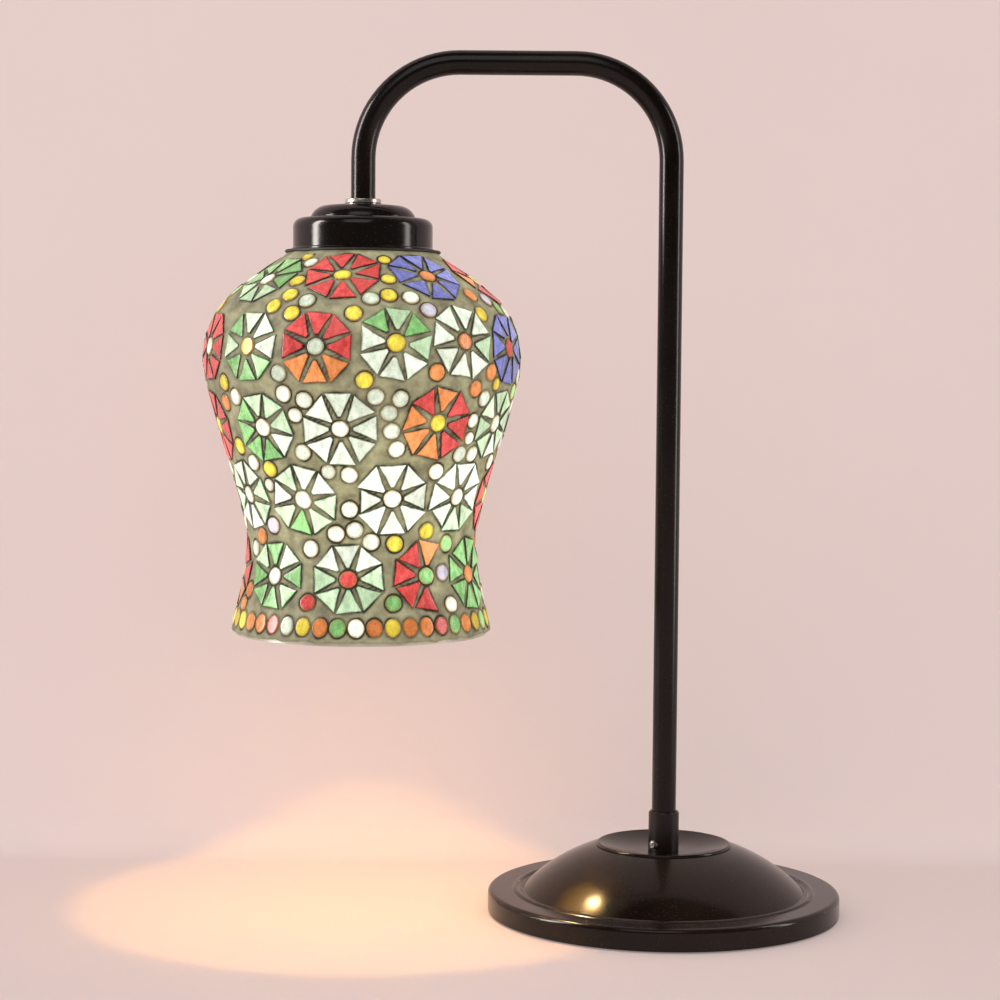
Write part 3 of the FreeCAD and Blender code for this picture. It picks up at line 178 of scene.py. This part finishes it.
def plated(name, colour, roughness):
    """Plated or bare metal with fine turning marks."""
    look = Look(name)
    marks = look.noise(0.5 * MM, 3.0, place=look.stretched(0.3, 0.3, 2.0))
    tarnish = look.span(look.noise(5 * MM, 3.0), 0.4, 0.75)
    darker = tuple(c * 0.55 for c in colour)
    look.set(Base_Color=look.mix(tarnish, colour, darker), Metallic=1.0)
    look.set(Roughness=look.span(marks, 0.3, 0.7, roughness * 0.7, roughness * 1.4))
    look.bump(marks, 0.25, 0.03 * MM)
    return look.material


def dull(name, colour, roughness, size, depth):
    """Plastic, rubber, felt, porcelain or cast iron: one colour with grain at its own size."""
    look = Look(name)
    grain = look.noise(size, 4.0)
    paler = tuple(min(1.0, c * 1.25 + 0.01) for c in colour)
    look.set(Base_Color=look.mix(look.span(grain, 0.3, 0.75), colour, paler))
    look.set(Roughness=look.span(grain, 0.2, 0.8, roughness * 0.85, min(1.0, roughness * 1.15)))
    look.bump(grain, 0.4, depth)
    return look.material


def opal(name):
    """The lit diffuser of the bulb, hot at its tip and dimmer towards its waist."""
    look = Look(name)
    cloud = look.noise(9 * MM, 2.0)
    look.set(Base_Color=(0.9, 0.9, 0.88), Roughness=look.span(cloud, 0.3, 0.7, 0.35, 0.5))
    away = look.add("ShaderNodeVectorMath", operation="DISTANCE")
    look.feed(away.inputs[0], look.place)
    away.inputs[1].default_value = (AXIS.x, AXIS.y, GLOBE_LOW.z)
    hot = look.span(away.outputs["Value"], 5 * MM, 26 * MM, 1.0, 0.0)
    look.set(Emission_Color=look.mix(hot, (1.0, 0.42, 0.12), (1.0, 0.74, 0.36)))
    falling = look.combine("POWER", hot, 2.0)
    waist_strength = 14.0
    tip_strength = 480.0
    look.set(Emission_Strength=look.span(falling, 0.0, 1.0, waist_strength, tip_strength))
    return look.material


def blank_glass():
    """The frosted glass blank behind the mosaic, lit through."""
    look = Look("blank_glass")
    frost = look.noise(0.6 * MM, 2.0)
    wave = look.noise(14 * MM, 2.0)
    thick, thin = (0.36, 0.33, 0.26), (0.55, 0.52, 0.44)
    look.set(Base_Color=look.mix(look.span(wave, 0.3, 0.7), thick, thin))
    look.set(Roughness=look.span(frost, 0.3, 0.7, 0.22, 0.4))
    # Painted glow: the bulb's light coming through the glass.
    look.set(Emission_Color=look.mix(wave, (1.0, 0.93, 0.74), (1.0, 0.97, 0.86)))
    look.set(Emission_Strength=0.12)
    look.bump(frost, 0.3, 0.06 * MM)
    return look.material


# Each colour of glass: seen by the room's light, and its painted glow when lit dimly from behind
# # and when lit fully.
GLASS = {
    "red": ((0.34, 0.020, 0.020), (0.46, 0.040, 0.030), (0.66, 0.095, 0.085)),
    "orange": ((0.38, 0.10, 0.02), (0.52, 0.17, 0.03), (0.72, 0.30, 0.10)),
    "yellow": ((0.42, 0.33, 0.02), (0.58, 0.42, 0.02), (0.74, 0.72, 0.09)),
    "green": ((0.10, 0.24, 0.07), (0.12, 0.36, 0.09), (0.32, 0.62, 0.24)),
    "mint": ((0.26, 0.38, 0.24), (0.32, 0.52, 0.27), (0.62, 0.76, 0.52)),
    "white": ((0.36, 0.42, 0.33), (0.44, 0.56, 0.40), (0.80, 0.84, 0.74)),
    "blue": ((0.070, 0.080, 0.24), (0.09, 0.11, 0.36), (0.22, 0.26, 0.58)),
    "violet": ((0.28, 0.27, 0.33), (0.42, 0.41, 0.48), (0.58, 0.56, 0.64)),
}


def stained_glass(colour):
    """Rolled art glass lit from behind. The mesh says how lit each point is, how near a cut
    edge it is, whether the piece is round, and gives each piece a shade of its own."""
    own, dim, full = GLASS[colour]
    look = Look(f"stained_glass_{colour}")
    glow = look.attribute("glow")
    edge = look.attribute("edge")
    tint = look.attribute("tint")
    round_piece = look.attribute("round_piece")
    seeds = look.span(look.cells(0.9 * MM), 0.05, 0.55)
    streaks = look.noise(3.2 * MM, 4.0, 0.6, place=look.stretched(1.0, 1.0, 0.55))
    flecks = look.span(look.noise(0.55 * MM, 2.0), 0.60, 0.72)
    soot_and_painted_shade = look.span(look.noise(0.42 * MM, 2.0, 0.6), 0.60, 0.70)

    # How lit each point is: its streaks, its piece's own shade, bubbles, soot, and a glow dimmed at
    #     # its cut edge.
    lit = look.combine("MULTIPLY", glow, look.span(streaks, 0.28, 0.72, 0.62, 1.22))
    lit = look.combine("MULTIPLY", lit, look.span(tint, 0.0, 1.0, 0.80, 1.18))
    lit = look.combine("MULTIPLY", lit, look.span(seeds, 0.0, 1.0, 0.86, 1.06))
    lit = look.combine("MULTIPLY", lit, look.span(soot_and_painted_shade, 0.0, 1.0, 1.0, 0.72))
    rim = look.combine("MULTIPLY", edge, look.span(round_piece, 0.0, 1.0, 0.85, 0.35))
    lit = look.combine("SUBTRACT", lit, rim)
    # Round pieces have an amber ring where the light passes their cast edge.
    through = look.mix(look.span(lit, 0.35, 1.0), dim, full)
    amber = look.combine("MULTIPLY", look.combine("MULTIPLY", edge, round_piece), 0.8)
    through = look.mix(amber, through, (0.62, 0.30, 0.05))

    # Painted shade darkens the cut edges of each piece.
    painted_edge_shade = tuple(c * 0.10 for c in own)
    face = look.mix(edge, own, painted_edge_shade)
    pale = tuple(min(1.0, c * 0.6 + 0.38) for c in own)
    look.set(Base_Color=look.mix(look.combine("MULTIPLY", flecks, 0.5), face, pale))
    look.set(Emission_Color=through)
    look.set(Emission_Strength=look.span(lit, 0.0, 1.1, 0.04, 1.24))
    look.set(Roughness=look.span(streaks, 0.25, 0.75, 0.16, 0.38), IOR=1.5)
    relief = look.combine("ADD", look.combine("MULTIPLY", seeds, 0.5), streaks)
    look.bump(relief, 0.35, 0.12 * MM)
    return look.material


def grout():
    """Cement grout, grey where thick and warm where the lit glass shows through it, with painted
    shade along the cut edges in some places and none in others, and painted shade that turns its
    pits near black."""
    look = Look("mosaic_grout")
    glow = look.attribute("glow")
    near = look.attribute("near")
    pit = look.attribute("pit")
    cloud = look.noise(9 * MM, 4.0, 0.6)
    patch = look.noise(16 * MM, 2.0, 0.5)
    sand = look.noise(0.45 * MM, 3.0, 0.7)
    stone = look.mix(look.span(cloud, 0.3, 0.7), (0.085, 0.076, 0.048), (0.225, 0.205, 0.145))
    stone = look.mix(look.span(sand, 0.35, 0.75, 0.0, 0.6), stone, (0.27, 0.25, 0.19))
    # Painted shade: the grout darkens along the cut edges of the glass, in patches.
    painted_shade_patches = look.span(patch, 0.42, 0.55, 0.62, 1.35)
    soot_and_painted_shade = look.combine("MULTIPLY", look.span(near, 0.05, 0.62), painted_shade_patches)
    shade = look.mix(soot_and_painted_shade, stone, (0.012, 0.010, 0.006))
    # Pits are near black: painted shade in the hole.
    look.set(Base_Color=look.mix(pit, shade, (0.004, 0.0035, 0.003)))
    thin = look.combine("MULTIPLY", look.span(cloud, 0.35, 0.7, 0.35, 1.1), glow)
    thin = look.combine("MULTIPLY", thin, look.span(soot_and_painted_shade, 0.0, 1.0, 1.0, 0.12))
    thin = look.combine("MULTIPLY", thin, look.span(pit, 0.0, 1.0, 1.0, 0.0))
    look.set(Emission_Color=look.mix(cloud, (0.40, 0.40, 0.16), (0.50, 0.50, 0.26)))
    look.set(Emission_Strength=look.combine("MULTIPLY", thin, 0.66))
    look.set(Roughness=look.span(sand, 0.3, 0.7, 0.72, 0.95))
    look.bump(look.combine("ADD", sand, cloud), 0.6, 0.12 * MM)
    return look.material


def sweep_paint(colour, other, upright_light, level_light):
    """Matt backdrop paint, clear from behind. A share of its brightness is its own, which evens
    the studio out: more where it stands upright than where it lies level."""
    look = Look("sweep_paint")
    cloud = look.noise(0.35, 3.0)
    paint = look.mix(look.span(cloud, 0.3, 0.7), colour, other)
    surface = look.add("ShaderNodeNewGeometry")
    facing = look.add("ShaderNodeSeparateXYZ")
    look.feed(facing.inputs[0], surface.outputs["True Normal"])
    own_light = look.span(facing.outputs["Z"], 0.0, 1.0, upright_light, level_light)
    look.set(Base_Color=paint, Roughness=0.85, Emission_Color=paint, Emission_Strength=own_light)
    look.set(Specular_IOR_Level=0.2)
    look.bump(look.noise(1.2 * MM, 2.0), 0.08, 0.05 * MM)
    clear = look.add("ShaderNodeBsdfTransparent")
    either = look.add("ShaderNodeMixShader")
    look.feed(either.inputs[0], surface.outputs["Backfacing"])
    look.feed(either.inputs[1], look.shader.outputs[0])
    look.feed(either.inputs[2], clear.outputs[0])
    look.feed(look.output.inputs["Surface"], either.outputs[0])
    return look.material


# ---------------------------------------------------------------- the mosaic


def lit_from_inside(point, normal):
    """How strongly the back of a point of the shade is lit, near 1 at the best lit. Part of the
    light has scattered about inside the shade, and part comes straight from the bulb."""
    scattered = 0.58
    straight = 0.47
    nearest = 74 * MM
    most = 1.1
    way = GLOW - point
    facing = max(0.0, -normal.dot(way) / way.length)
    direct = facing * (nearest / way.length) ** 2
    return scattered + straight * min(direct, most)


def joined_faces(start, seen):
    """The faces that hang together with one face, which are added to those seen."""
    piece = [start]
    seen.add(start.index)
    for face in piece:
        for edge in face.edges:
            for other in edge.link_faces:
                if other.index not in seen:
                    seen.add(other.index)
                    piece.append(other)
    return piece


def top_outline(piece):
    """The outline of a piece's flat top, anticlockwise about its normal, and that normal."""
    centre = sum((f.calc_center_median() for f in piece), Vector()) / len(piece)
    outward = Vector((centre.x - AXIS.x, centre.y - AXIS.y, 0.0))
    facing = [f for f in piece if f.normal.dot(outward) > 0]
    normal = max(facing, key=lambda f: f.calc_area()).normal.copy()
    nearly_parallel = 0.999
    top = {f.index for f in piece if f.normal.dot(normal) > nearly_parallel}
    following = {}
    for face in piece:
        if face.index not in top:
            continue
        for loop in face.loops:
            if loop.link_loop_radial_next.face.index not in top:
                following[loop.vert.index] = (loop.link_loop_next.vert.index, loop.vert.co)
    first = next(iter(following))
    outline = []
    here = first
    while True:
        there, place = following[here]
        outline.append(place.copy())
        here = there
        if here == first:
            break
    return outline, normal


def top_outlines(node):
    """The outline and the normal of the top of every piece in a node."""
    mesh = bmesh.new()
    mesh.from_mesh(node.data)
    same_point = 1e-6
    bmesh.ops.remove_doubles(mesh, verts=mesh.verts, dist=same_point)
    mesh.normal_update()
    mesh.faces.ensure_lookup_table()
    seen = set()
    found = []
    for start in mesh.faces:
        if start.index not in seen:
            found.append(top_outline(joined_faces(start, seen)))
    mesh.free()
    return found


def cut_by_hand(outline, normal, draw):
    """A wedge's outline with nipped corners and edges that aren't quite straight."""
    least_nip, most_nip = 0.15, 0.5
    most_of_side = 0.3
    corner_share = 0.22
    longest = 1.3 * MM
    waves_per_metre = 520
    wave_depth = 0.16
    roughest = 0.04
    count = len(outline)
    rounded = []
    for i, corner in enumerate(outline):
        before = outline[i - 1] - corner
        after = outline[(i + 1) % count] - corner
        nip = draw.uniform(least_nip, most_nip) * MM
        back = min(nip, before.length * most_of_side)
        ahead = min(nip, after.length * most_of_side)
        inwards = before.normalized() * back + after.normalized() * ahead
        rounded.append(corner + before.normalized() * back)
        rounded.append(corner + inwards * corner_share)
        rounded.append(corner + after.normalized() * ahead)
    walked = []
    for i, here in enumerate(rounded):
        there = rounded[(i + 1) % len(rounded)]
        steps = max(1, math.ceil((there - here).length / longest))
        sideways = normal.cross(there - here).normalized()
        for k in range(steps):
            place = here.lerp(there, k / steps)
            ragged = abs(noise.noise(place * waves_per_metre)) * wave_depth
            ragged += draw.uniform(0.0, roughest)
            walked.append(place + sideways * ragged * MM)
    return walked


def cast_round(outline, _normal, draw):
    """A round piece's outline, a little out of true."""
    centre = sum(outline, Vector()) / len(outline)
    phase = draw.uniform(0, 6.28)
    shrink, oval, wobble = 0.02, 0.02, 0.012
    turned = []
    count = len(outline)
    for i, place in enumerate(outline):
        angle = 2 * math.pi * i / count
        pull = shrink + oval * math.sin(2 * angle + phase) + wobble * math.sin(5 * angle + phase * 3)
        turned.append(place.lerp(centre, max(0.0, pull)))
    return turned


# How a piece rounds over from its foot to its top, ring by ring: millimetres inwards from its
# outline, millimetres below its top, and how much painted shade along its cut edge shows there.
WEDGE_EDGE = [
    (0.0, 1.30, 1.0),
    (0.0, 0.32, 1.0),
    (0.09, 0.13, 0.9),
    (0.30, 0.04, 0.45),
    (0.9, 0.0, 0.0),
]
ROUND_EDGE = [
    (0.0, 1.30, 1.0),
    (0.0, 0.42, 1.0),
    (0.16, 0.17, 0.8),
    (0.55, 0.04, 0.35),
    (1.5, 0.0, 0.0),
]
# Pieces lean a little, all but their feet, which lie FOOT_DEPTH millimetres or more below the top.
LEAN = 0.02
FOOT_DEPTH = 1.0
# How evenly the pieces of a kind are lit: least and most.
EVENNESS = {"petals": (0.94, 1.04), "dots": (0.9, 1.1), "rim_dots": (0.75, 1.2)}


class Pieces:
    """Glass pieces of one node, gathered into one mesh."""

    def __init__(self):
        self.points = []
        self.faces = []
        self.marks = {"glow": [], "edge": [], "tint": [], "round_piece": []}

    def add_point(self, place, glow, edge, tint, round_piece):
        self.points.append(place)
        self.marks["glow"].append(glow)
        self.marks["edge"].append(edge)
        self.marks["tint"].append(tint)
        self.marks["round_piece"].append(round_piece)
        return len(self.points) - 1

    def add_piece(self, outline, normal, profile, draw, evenness):
        count = len(outline)
        round_piece = float(profile is ROUND_EDGE)
        centre = sum(outline, Vector()) / count
        tint = draw.random()
        glow = lit_from_inside(centre, normal) * draw.uniform(*evenness)
        lean = Vector((draw.uniform(-1, 1), draw.uniform(-1, 1), draw.uniform(-1, 1))) * LEAN
        lowest = max(lean.dot(p - centre) for p in outline)
        rings = []
        for inwards, below, edge in profile:
            ring = []
            for place in outline:
                way = centre - place
                spot = place + way.normalized() * inwards * MM
                sink = below * MM
                if below < FOOT_DEPTH:
                    sink += lowest - lean.dot(spot - centre)
                ring.append(self.add_point(spot - normal * sink, glow, edge, tint, round_piece))
            rings.append(ring)
        top = self.add_point(centre - normal * lowest, glow, 0.0, tint, round_piece)
        for lower, upper in zip(rings, rings[1:]):
            for i in range(count):
                j = (i + 1) % count
                self.faces.append((lower[i], lower[j], upper[j], upper[i]))
        last = rings[-1]
        for i in range(count):
            self.faces.append((last[i], last[(i + 1) % count], top))
        self.faces.append(tuple(reversed(rings[0])))

    def build(self, name, material):
        return new_mesh(name, self.points, self.faces, self.marks, material)


def new_mesh(name, points, faces, marks, material):
    """A smooth object in the scene, with a number at each point for every mark."""
    mesh = bpy.data.meshes.new(name)
    mesh.from_pydata([tuple(p) for p in points], [], faces)
    for key, values in marks.items():
        layer = mesh.attributes.new(key, "FLOAT", "POINT")
        layer.data.foreach_set("value", np.array(values, np.float32))
    mesh.polygons.foreach_set("use_smooth", [True] * len(mesh.polygons))
    mesh.materials.append(material)
    mesh.update()
    obj = bpy.data.objects.new(name, mesh)
    bpy.context.scene.collection.objects.link(obj)
    return obj


def mosaic_glass():
    """Rebuilds every node of glass pieces, and returns each piece's kind and outline."""
    draw = random.Random(5)
    glasses = {colour: stained_glass(colour) for colour in GLASS}
    outlines = []
    for name in sorted(NODES):
        kind, _, colour = name.rpartition("_")
        if kind not in EVENNESS:
            continue
        shaped, profile = (cut_by_hand, WEDGE_EDGE) if kind == "petals" else (cast_round, ROUND_EDGE)
        pieces = Pieces()
        for cad_outline, normal in top_outlines(NODES[name]):
            outline = shaped(cad_outline, normal, draw)
            pieces.add_piece(outline, normal, profile, draw, EVENNESS[kind])
            outlines.append((kind, outline))
        obj = pieces.build(f"glass_{name}", glasses[colour])
        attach(obj, "arm")
        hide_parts(name)
    return outlines


# The grout's skin: points round the shade, distance between rows, how far its outer and inner
# sides stand out from the face of the CAD grout, and the share of wedges with a pit beside them.
GROUT_AROUND = 440
GROUT_SPACING = 1.0 * MM
GROUT_RISE = 1.02 * MM
GROUT_BACK = -1.35 * MM
PIT_CHANCE = 0.16


def tree_of(places):
    """A tree that finds the nearest of some places."""
    tree = KDTree(len(places))
    for place in places:
        tree.insert(place, 0)
    tree.balance()
    return tree


def grout_rows():
    """Height, radius and slope of the CAD grout at evenly spaced rows, from its lower edge up."""
    mesh = bmesh.new()
    mesh.from_mesh(NODES["shade_grout"].data)
    tree = BVHTree.FromBMesh(mesh)
    mesh.free()
    low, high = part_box("shade_grout")
    margin = 0.05 * MM
    levels = np.linspace(low.z + margin, high.z - margin, 60)
    outside = 0.2
    off_seam = 1e-5
    radii = []
    for z in levels:
        hit = tree.ray_cast(Vector((AXIS.x + outside, AXIS.y + off_seam, z)), Vector((-1, 0, 0)))
        radii.append(hit[0].x - AXIS.x)
    radii = np.array(radii)
    length = np.concatenate([[0.0], np.cumsum(np.hypot(np.diff(radii), np.diff(levels)))])
    along = np.linspace(0.0, length[-1], int(length[-1] / GROUT_SPACING))
    slope = np.gradient(radii, levels)
    return [np.interp(along, length, values) for values in (levels, radii, slope)]


class GroutSkin:
    """The points of the grout's skin, row by row, with the marks that its material reads."""

    def __init__(self, edges, pits):
        self.edges = edges
        self.pits = pits
        self.frayed_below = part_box("shade_grout")[0].z + 1.2 * MM
        self.points = []
        self.marks = {"glow": [], "near": [], "pit": []}

    def wear_and_painted_shade(self, place):
        """How near a piece's edge and how near a pit a place is, from 0, far, to 1, on it."""
        edge_reach = 1.0 * MM
        pit_reach = 0.8 * MM
        near = math.exp(-(self.edges.find(place)[2] / edge_reach) ** 2)
        pit = math.exp(-(self.pits.find(place)[2] / pit_reach) ** 2)
        return near, pit

    def add_row(self, z, r, lean, lift, worn):
        """One ring of points, lift out from the CAD grout's face, whose radius grows by lean."""
        worn_by_edge = 0.10
        pit_depth = 0.7
        tip = 1 / math.hypot(1, lean)
        for i in range(GROUT_AROUND):
            angle = 2 * math.pi * i / GROUT_AROUND
            flat = Vector((math.sin(angle), -math.cos(angle), 0))
            normal = Vector((flat.x * tip, flat.y * tip, -lean * tip))
            place = Vector((AXIS.x, AXIS.y, z)) + flat * r
            up = lift
            near = pit = 0.0
            if worn:
                # Nearness to cut edges and pits wears the grout down, and its marks place painted
                # shade there.
                near, pit = self.wear_and_painted_shade(place + normal * GROUT_RISE)
                wander = noise.noise(place * 90) * 0.12 + noise.noise(place * 330) * 0.06
                up += (wander - worn_by_edge * near - pit_depth * pit) * MM
            spot = place + normal * up
            if z < self.frayed_below:
                spot.z += lower_edge(angle)
            self.points.append(spot)
            self.marks["glow"].append(lit_from_inside(spot, normal))
            self.marks["near"].append(near)
            self.marks["pit"].append(pit)


def lower_edge(angle):
    """How far the ragged lower edge of the grout stands above its line."""
    fray = noise.noise(Vector((math.cos(angle) * 9, math.sin(angle) * 9, 3)))
    fray += 0.5 * noise.noise(Vector((math.cos(angle) * 40, math.sin(angle) * 40, 7)))
    return fray * 0.8 * MM


def grout_skin(outlines):
    """The grout as a closed skin, a little below the tops of the glass pieces, worn down round
    them, with a ragged lower edge and a few pits beside the wedges."""
    draw = random.Random(17)
    pits = []
    for kind, outline in outlines:
        if kind == "petals" and draw.random() < PIT_CHANCE:
            pits.append(draw.choice(outline))
    skin = GroutSkin(tree_of([place for _, outline in outlines for place in outline]), tree_of(pits))

    heights, radii, slopes = grout_rows()
    lip_rows = [(0.0, -1.35), (-0.25, -0.6), (-0.35, 0.3)]
    for drop, lift in lip_rows:
        skin.add_row(heights[0] + drop * MM, radii[0], slopes[0], lift * MM, False)
    for z, r, lean in zip(heights, radii, slopes):
        skin.add_row(z, r, lean, GROUT_RISE, True)
    skin.add_row(heights[-1], radii[-1], slopes[-1], GROUT_BACK, False)
    for k in range(len(heights) - 6, 0, -8):
        skin.add_row(heights[k], radii[k], slopes[k], GROUT_BACK, False)

    rows = len(skin.points) // GROUT_AROUND
    faces = []
    for row in range(rows):
        lower = row * GROUT_AROUND
        upper = (row + 1) % rows * GROUT_AROUND
        for i in range(GROUT_AROUND):
            j = (i + 1) % GROUT_AROUND
            faces.append((lower + i, lower + j, upper + j, upper + i))
    obj = new_mesh("grout_skin", skin.points, faces, skin.marks, grout())
    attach(obj, "arm")
    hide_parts("shade_grout")


# ---------------------------------------------------------------- the rest of the lamp


def dress(material, *names):
    """Gives nodes of the frame a material."""
    for name in names:
        slots = NODES[name].data.materials
        slots.clear()
        slots.append(material)


def frame_materials():
    black = (0.007, 0.0042, 0.0028)
    bronze = (0.014, 0.0080, 0.0050)
    jet = (0.003, 0.0022, 0.0018)
    cap_black, cap_brown = (0.006, 0.005, 0.004), (0.008, 0.006, 0.005)
    dress(lacquer("foot_paint", black, bronze, 0.17, 0.10, 0.24), "base_shell")
    dress(lacquer("neck_paint", jet, black, 0.22, 0.16, 0.26), "arm_tube")
    dress(lacquer("collar_paint", black, bronze, 0.36, 0.6), "stem_collar")
    dress(lacquer("cap_paint", cap_black, cap_brown, 0.15, 0.08), "shade_cap")

    dress(plated("nickel", (0.70, 0.66, 0.60), 0.26), "check_ring")
    dress(plated("screw_steel", (0.34, 0.32, 0.29), 0.34), "set_screw")
    dress(
        plated("zinc", (0.60, 0.60, 0.57), 0.42),
        "stem_nipple",
        "stem_washer",
        "stem_nut",
        "cap_lock_nut",
        "arm_end_stud",
    )
    brass = plated("brass", (0.72, 0.52, 0.24), 0.3)
    dress(brass, "screw_shell", "centre_contact", "terminal_screws")
    dress(plated("bulb_cap_metal", (0.74, 0.72, 0.68), 0.3), "bulb_screw_cap")

    rubber = dull("rubber", (0.010, 0.009, 0.008), 0.6, 1.2 * MM, 0.04 * MM)
    dress(rubber, "cap_gasket", "cord_grommet")
    dress(dull("cast_iron", (0.055, 0.052, 0.05), 0.75, 1.5 * MM, 0.15 * MM), "base_weight")
    dress(dull("felt", (0.016, 0.016, 0.017), 0.95, 0.5 * MM, 0.15 * MM), "base_pad")
    sheath = dull("lead_sheath", (0.02, 0.02, 0.02), 0.55, 2.0 * MM, 0.02 * MM)
    dress(sheath, "stem_lead", "neck_lead")
    holder = dull("holder_plastic", (0.62, 0.60, 0.54), 0.4, 1.8 * MM, 0.02 * MM)
    dress(holder, "holder_cap", "holder_skirt", "shade_ring")
    dress(dull("porcelain", (0.78, 0.77, 0.72), 0.25, 4.0 * MM, 0.03 * MM), "holder_insert")
    insulator = dull("bulb_insulator", (0.03, 0.028, 0.03), 0.3, 2.0 * MM, 0.02 * MM)
    dress(insulator, "bulb_contact")
    dress(dull("bulb_plastic", (0.80, 0.79, 0.76), 0.42, 2.5 * MM, 0.02 * MM), "bulb_housing")
    dress(dull("board", (0.70, 0.70, 0.68), 0.5, 2.0 * MM, 0.02 * MM), "led_board")
    dress(opal("bulb_opal"), "bulb_globe")
    dress(blank_glass(), "shade_glass")


# ---------------------------------------------------------------- stage, light and camera


def stage():
    """A pale floor that sweeps up into a wall close behind the lamp."""
    paint = sweep_paint((0.50, 0.423, 0.408), (0.515, 0.437, 0.424), 0.56, 0.40)
    side = 8.0
    below_lamp = -0.1 * MM
    corners = [(-side, -side, 0), (side, -side, 0), (side, side, 0), (-side, side, 0)]
    floor = new_mesh("floor", corners, [(0, 1, 2, 3)], {}, paint)
    floor.location.z = below_lamp

    wall_y = 0.140
    wall_top = 2.6
    half_width = 2.4
    curve = 24 * MM
    line = []
    for angle in np.linspace(0, math.pi / 2, 25):
        line.append((wall_y - curve + curve * math.sin(angle), curve - curve * math.cos(angle)))
    line.append((wall_y, wall_top))
    points = [(x, y, z) for y, z in line for x in (-half_width, half_width)]
    faces = [(2 * i, 2 * i + 1, 2 * i + 3, 2 * i + 2) for i in range(len(line) - 1)]
    wall = new_mesh("wall", points, faces, {}, paint)
    wall.visible_shadow = False


def area(name, place, width, height, power, colour):
    """A soft light turned to the lamp, which shows only in gloss."""
    heart = Vector((AXIS.x / 2, 0, 0.25))
    data = bpy.data.lights.new(name, "AREA")
    data.shape = "RECTANGLE"
    data.size = width
    data.size_y = height
    data.energy = power
    data.color = colour
    obj = bpy.data.objects.new(name, data)
    obj.location = place
    obj.rotation_mode = "QUATERNION"
    obj.rotation_quaternion = (heart - Vector(place)).to_track_quat("-Z", "Y")
    obj.visible_camera = False
    obj.visible_diffuse = False
    bpy.context.scene.collection.objects.link(obj)


def point(name, place, radius, power, colour, body):
    """A round light that moves with a body."""
    data = bpy.data.lights.new(name, "POINT")
    data.energy = power
    data.color = colour
    data.shadow_soft_size = radius
    obj = bpy.data.objects.new(name, data)
    obj.location = place
    obj.visible_camera = False
    bpy.context.scene.collection.objects.link(obj)
    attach(obj, body)
    return obj


def lights():
    area("key_light", (-0.35, -1.5, 1.75), 1.4, 1.4, 9, (1.0, 0.98, 0.96))
    area("left_light", (-1.25, -0.20, 0.62), 0.22, 1.0, 21, (1.0, 0.93, 0.88))
    area("right_light", (1.15, -0.22, 0.45), 0.22, 1.3, 8, (1.0, 0.93, 0.88))

    # The bulb's light makes the pool on the floor. The bulb itself casts no shadow in it.
    in_mouth = (BULB.x, BULB.y - 10 * MM, 0.250)
    point("bulb_light", in_mouth, 6 * MM, 1.9, (1.0, 0.53, 0.10), "bulb")
    for name in ("bulb_globe", "bulb_housing", "led_board"):
        NODES[name].visible_shadow = False
    NODES["bulb_globe"].visible_diffuse = False

    # What the glowing shade throws on the wall behind it, evenly and without shadows.
    in_shade = (BULB.x, BULB.y - 15 * MM, 0.29)
    halo = point("halo_light", in_shade, 40 * MM, 0.30, (1.0, 0.82, 0.74), "arm")
    halo.data.use_shadow = False
    halo.visible_glossy = False

    world = bpy.data.worlds.new("room")
    bpy.context.scene.world = world
    world.use_nodes = True
    room = world.node_tree.nodes["Background"]
    room.inputs["Color"].default_value = (1.0, 0.93, 0.91, 1)
    room.inputs["Strength"].default_value = 1.15
    world.cycles_visibility.glossy = False


def camera():
    """A long lens a little above the middle of the lamp, looking slightly down."""
    place = (-0.0877, -1.254, 0.2927)
    down = math.radians(3.46)
    roll = math.radians(0.45)
    data = bpy.data.cameras.new("camera")
    data.sensor_width = 36
    data.lens = 86.4
    obj = bpy.data.objects.new("camera", data)
    turn = Matrix.Rotation(math.pi / 2 - down, 4, "X") @ Matrix.Rotation(roll, 4, "Z")
    obj.matrix_world = Matrix.Translation(place) @ turn
    bpy.context.scene.collection.objects.link(obj)
    bpy.context.scene.camera = obj
    bpy.context.scene.view_settings.view_transform = "Standard"


camera()
stage()
lights()
frame_materials()
grout_skin(mosaic_glass())
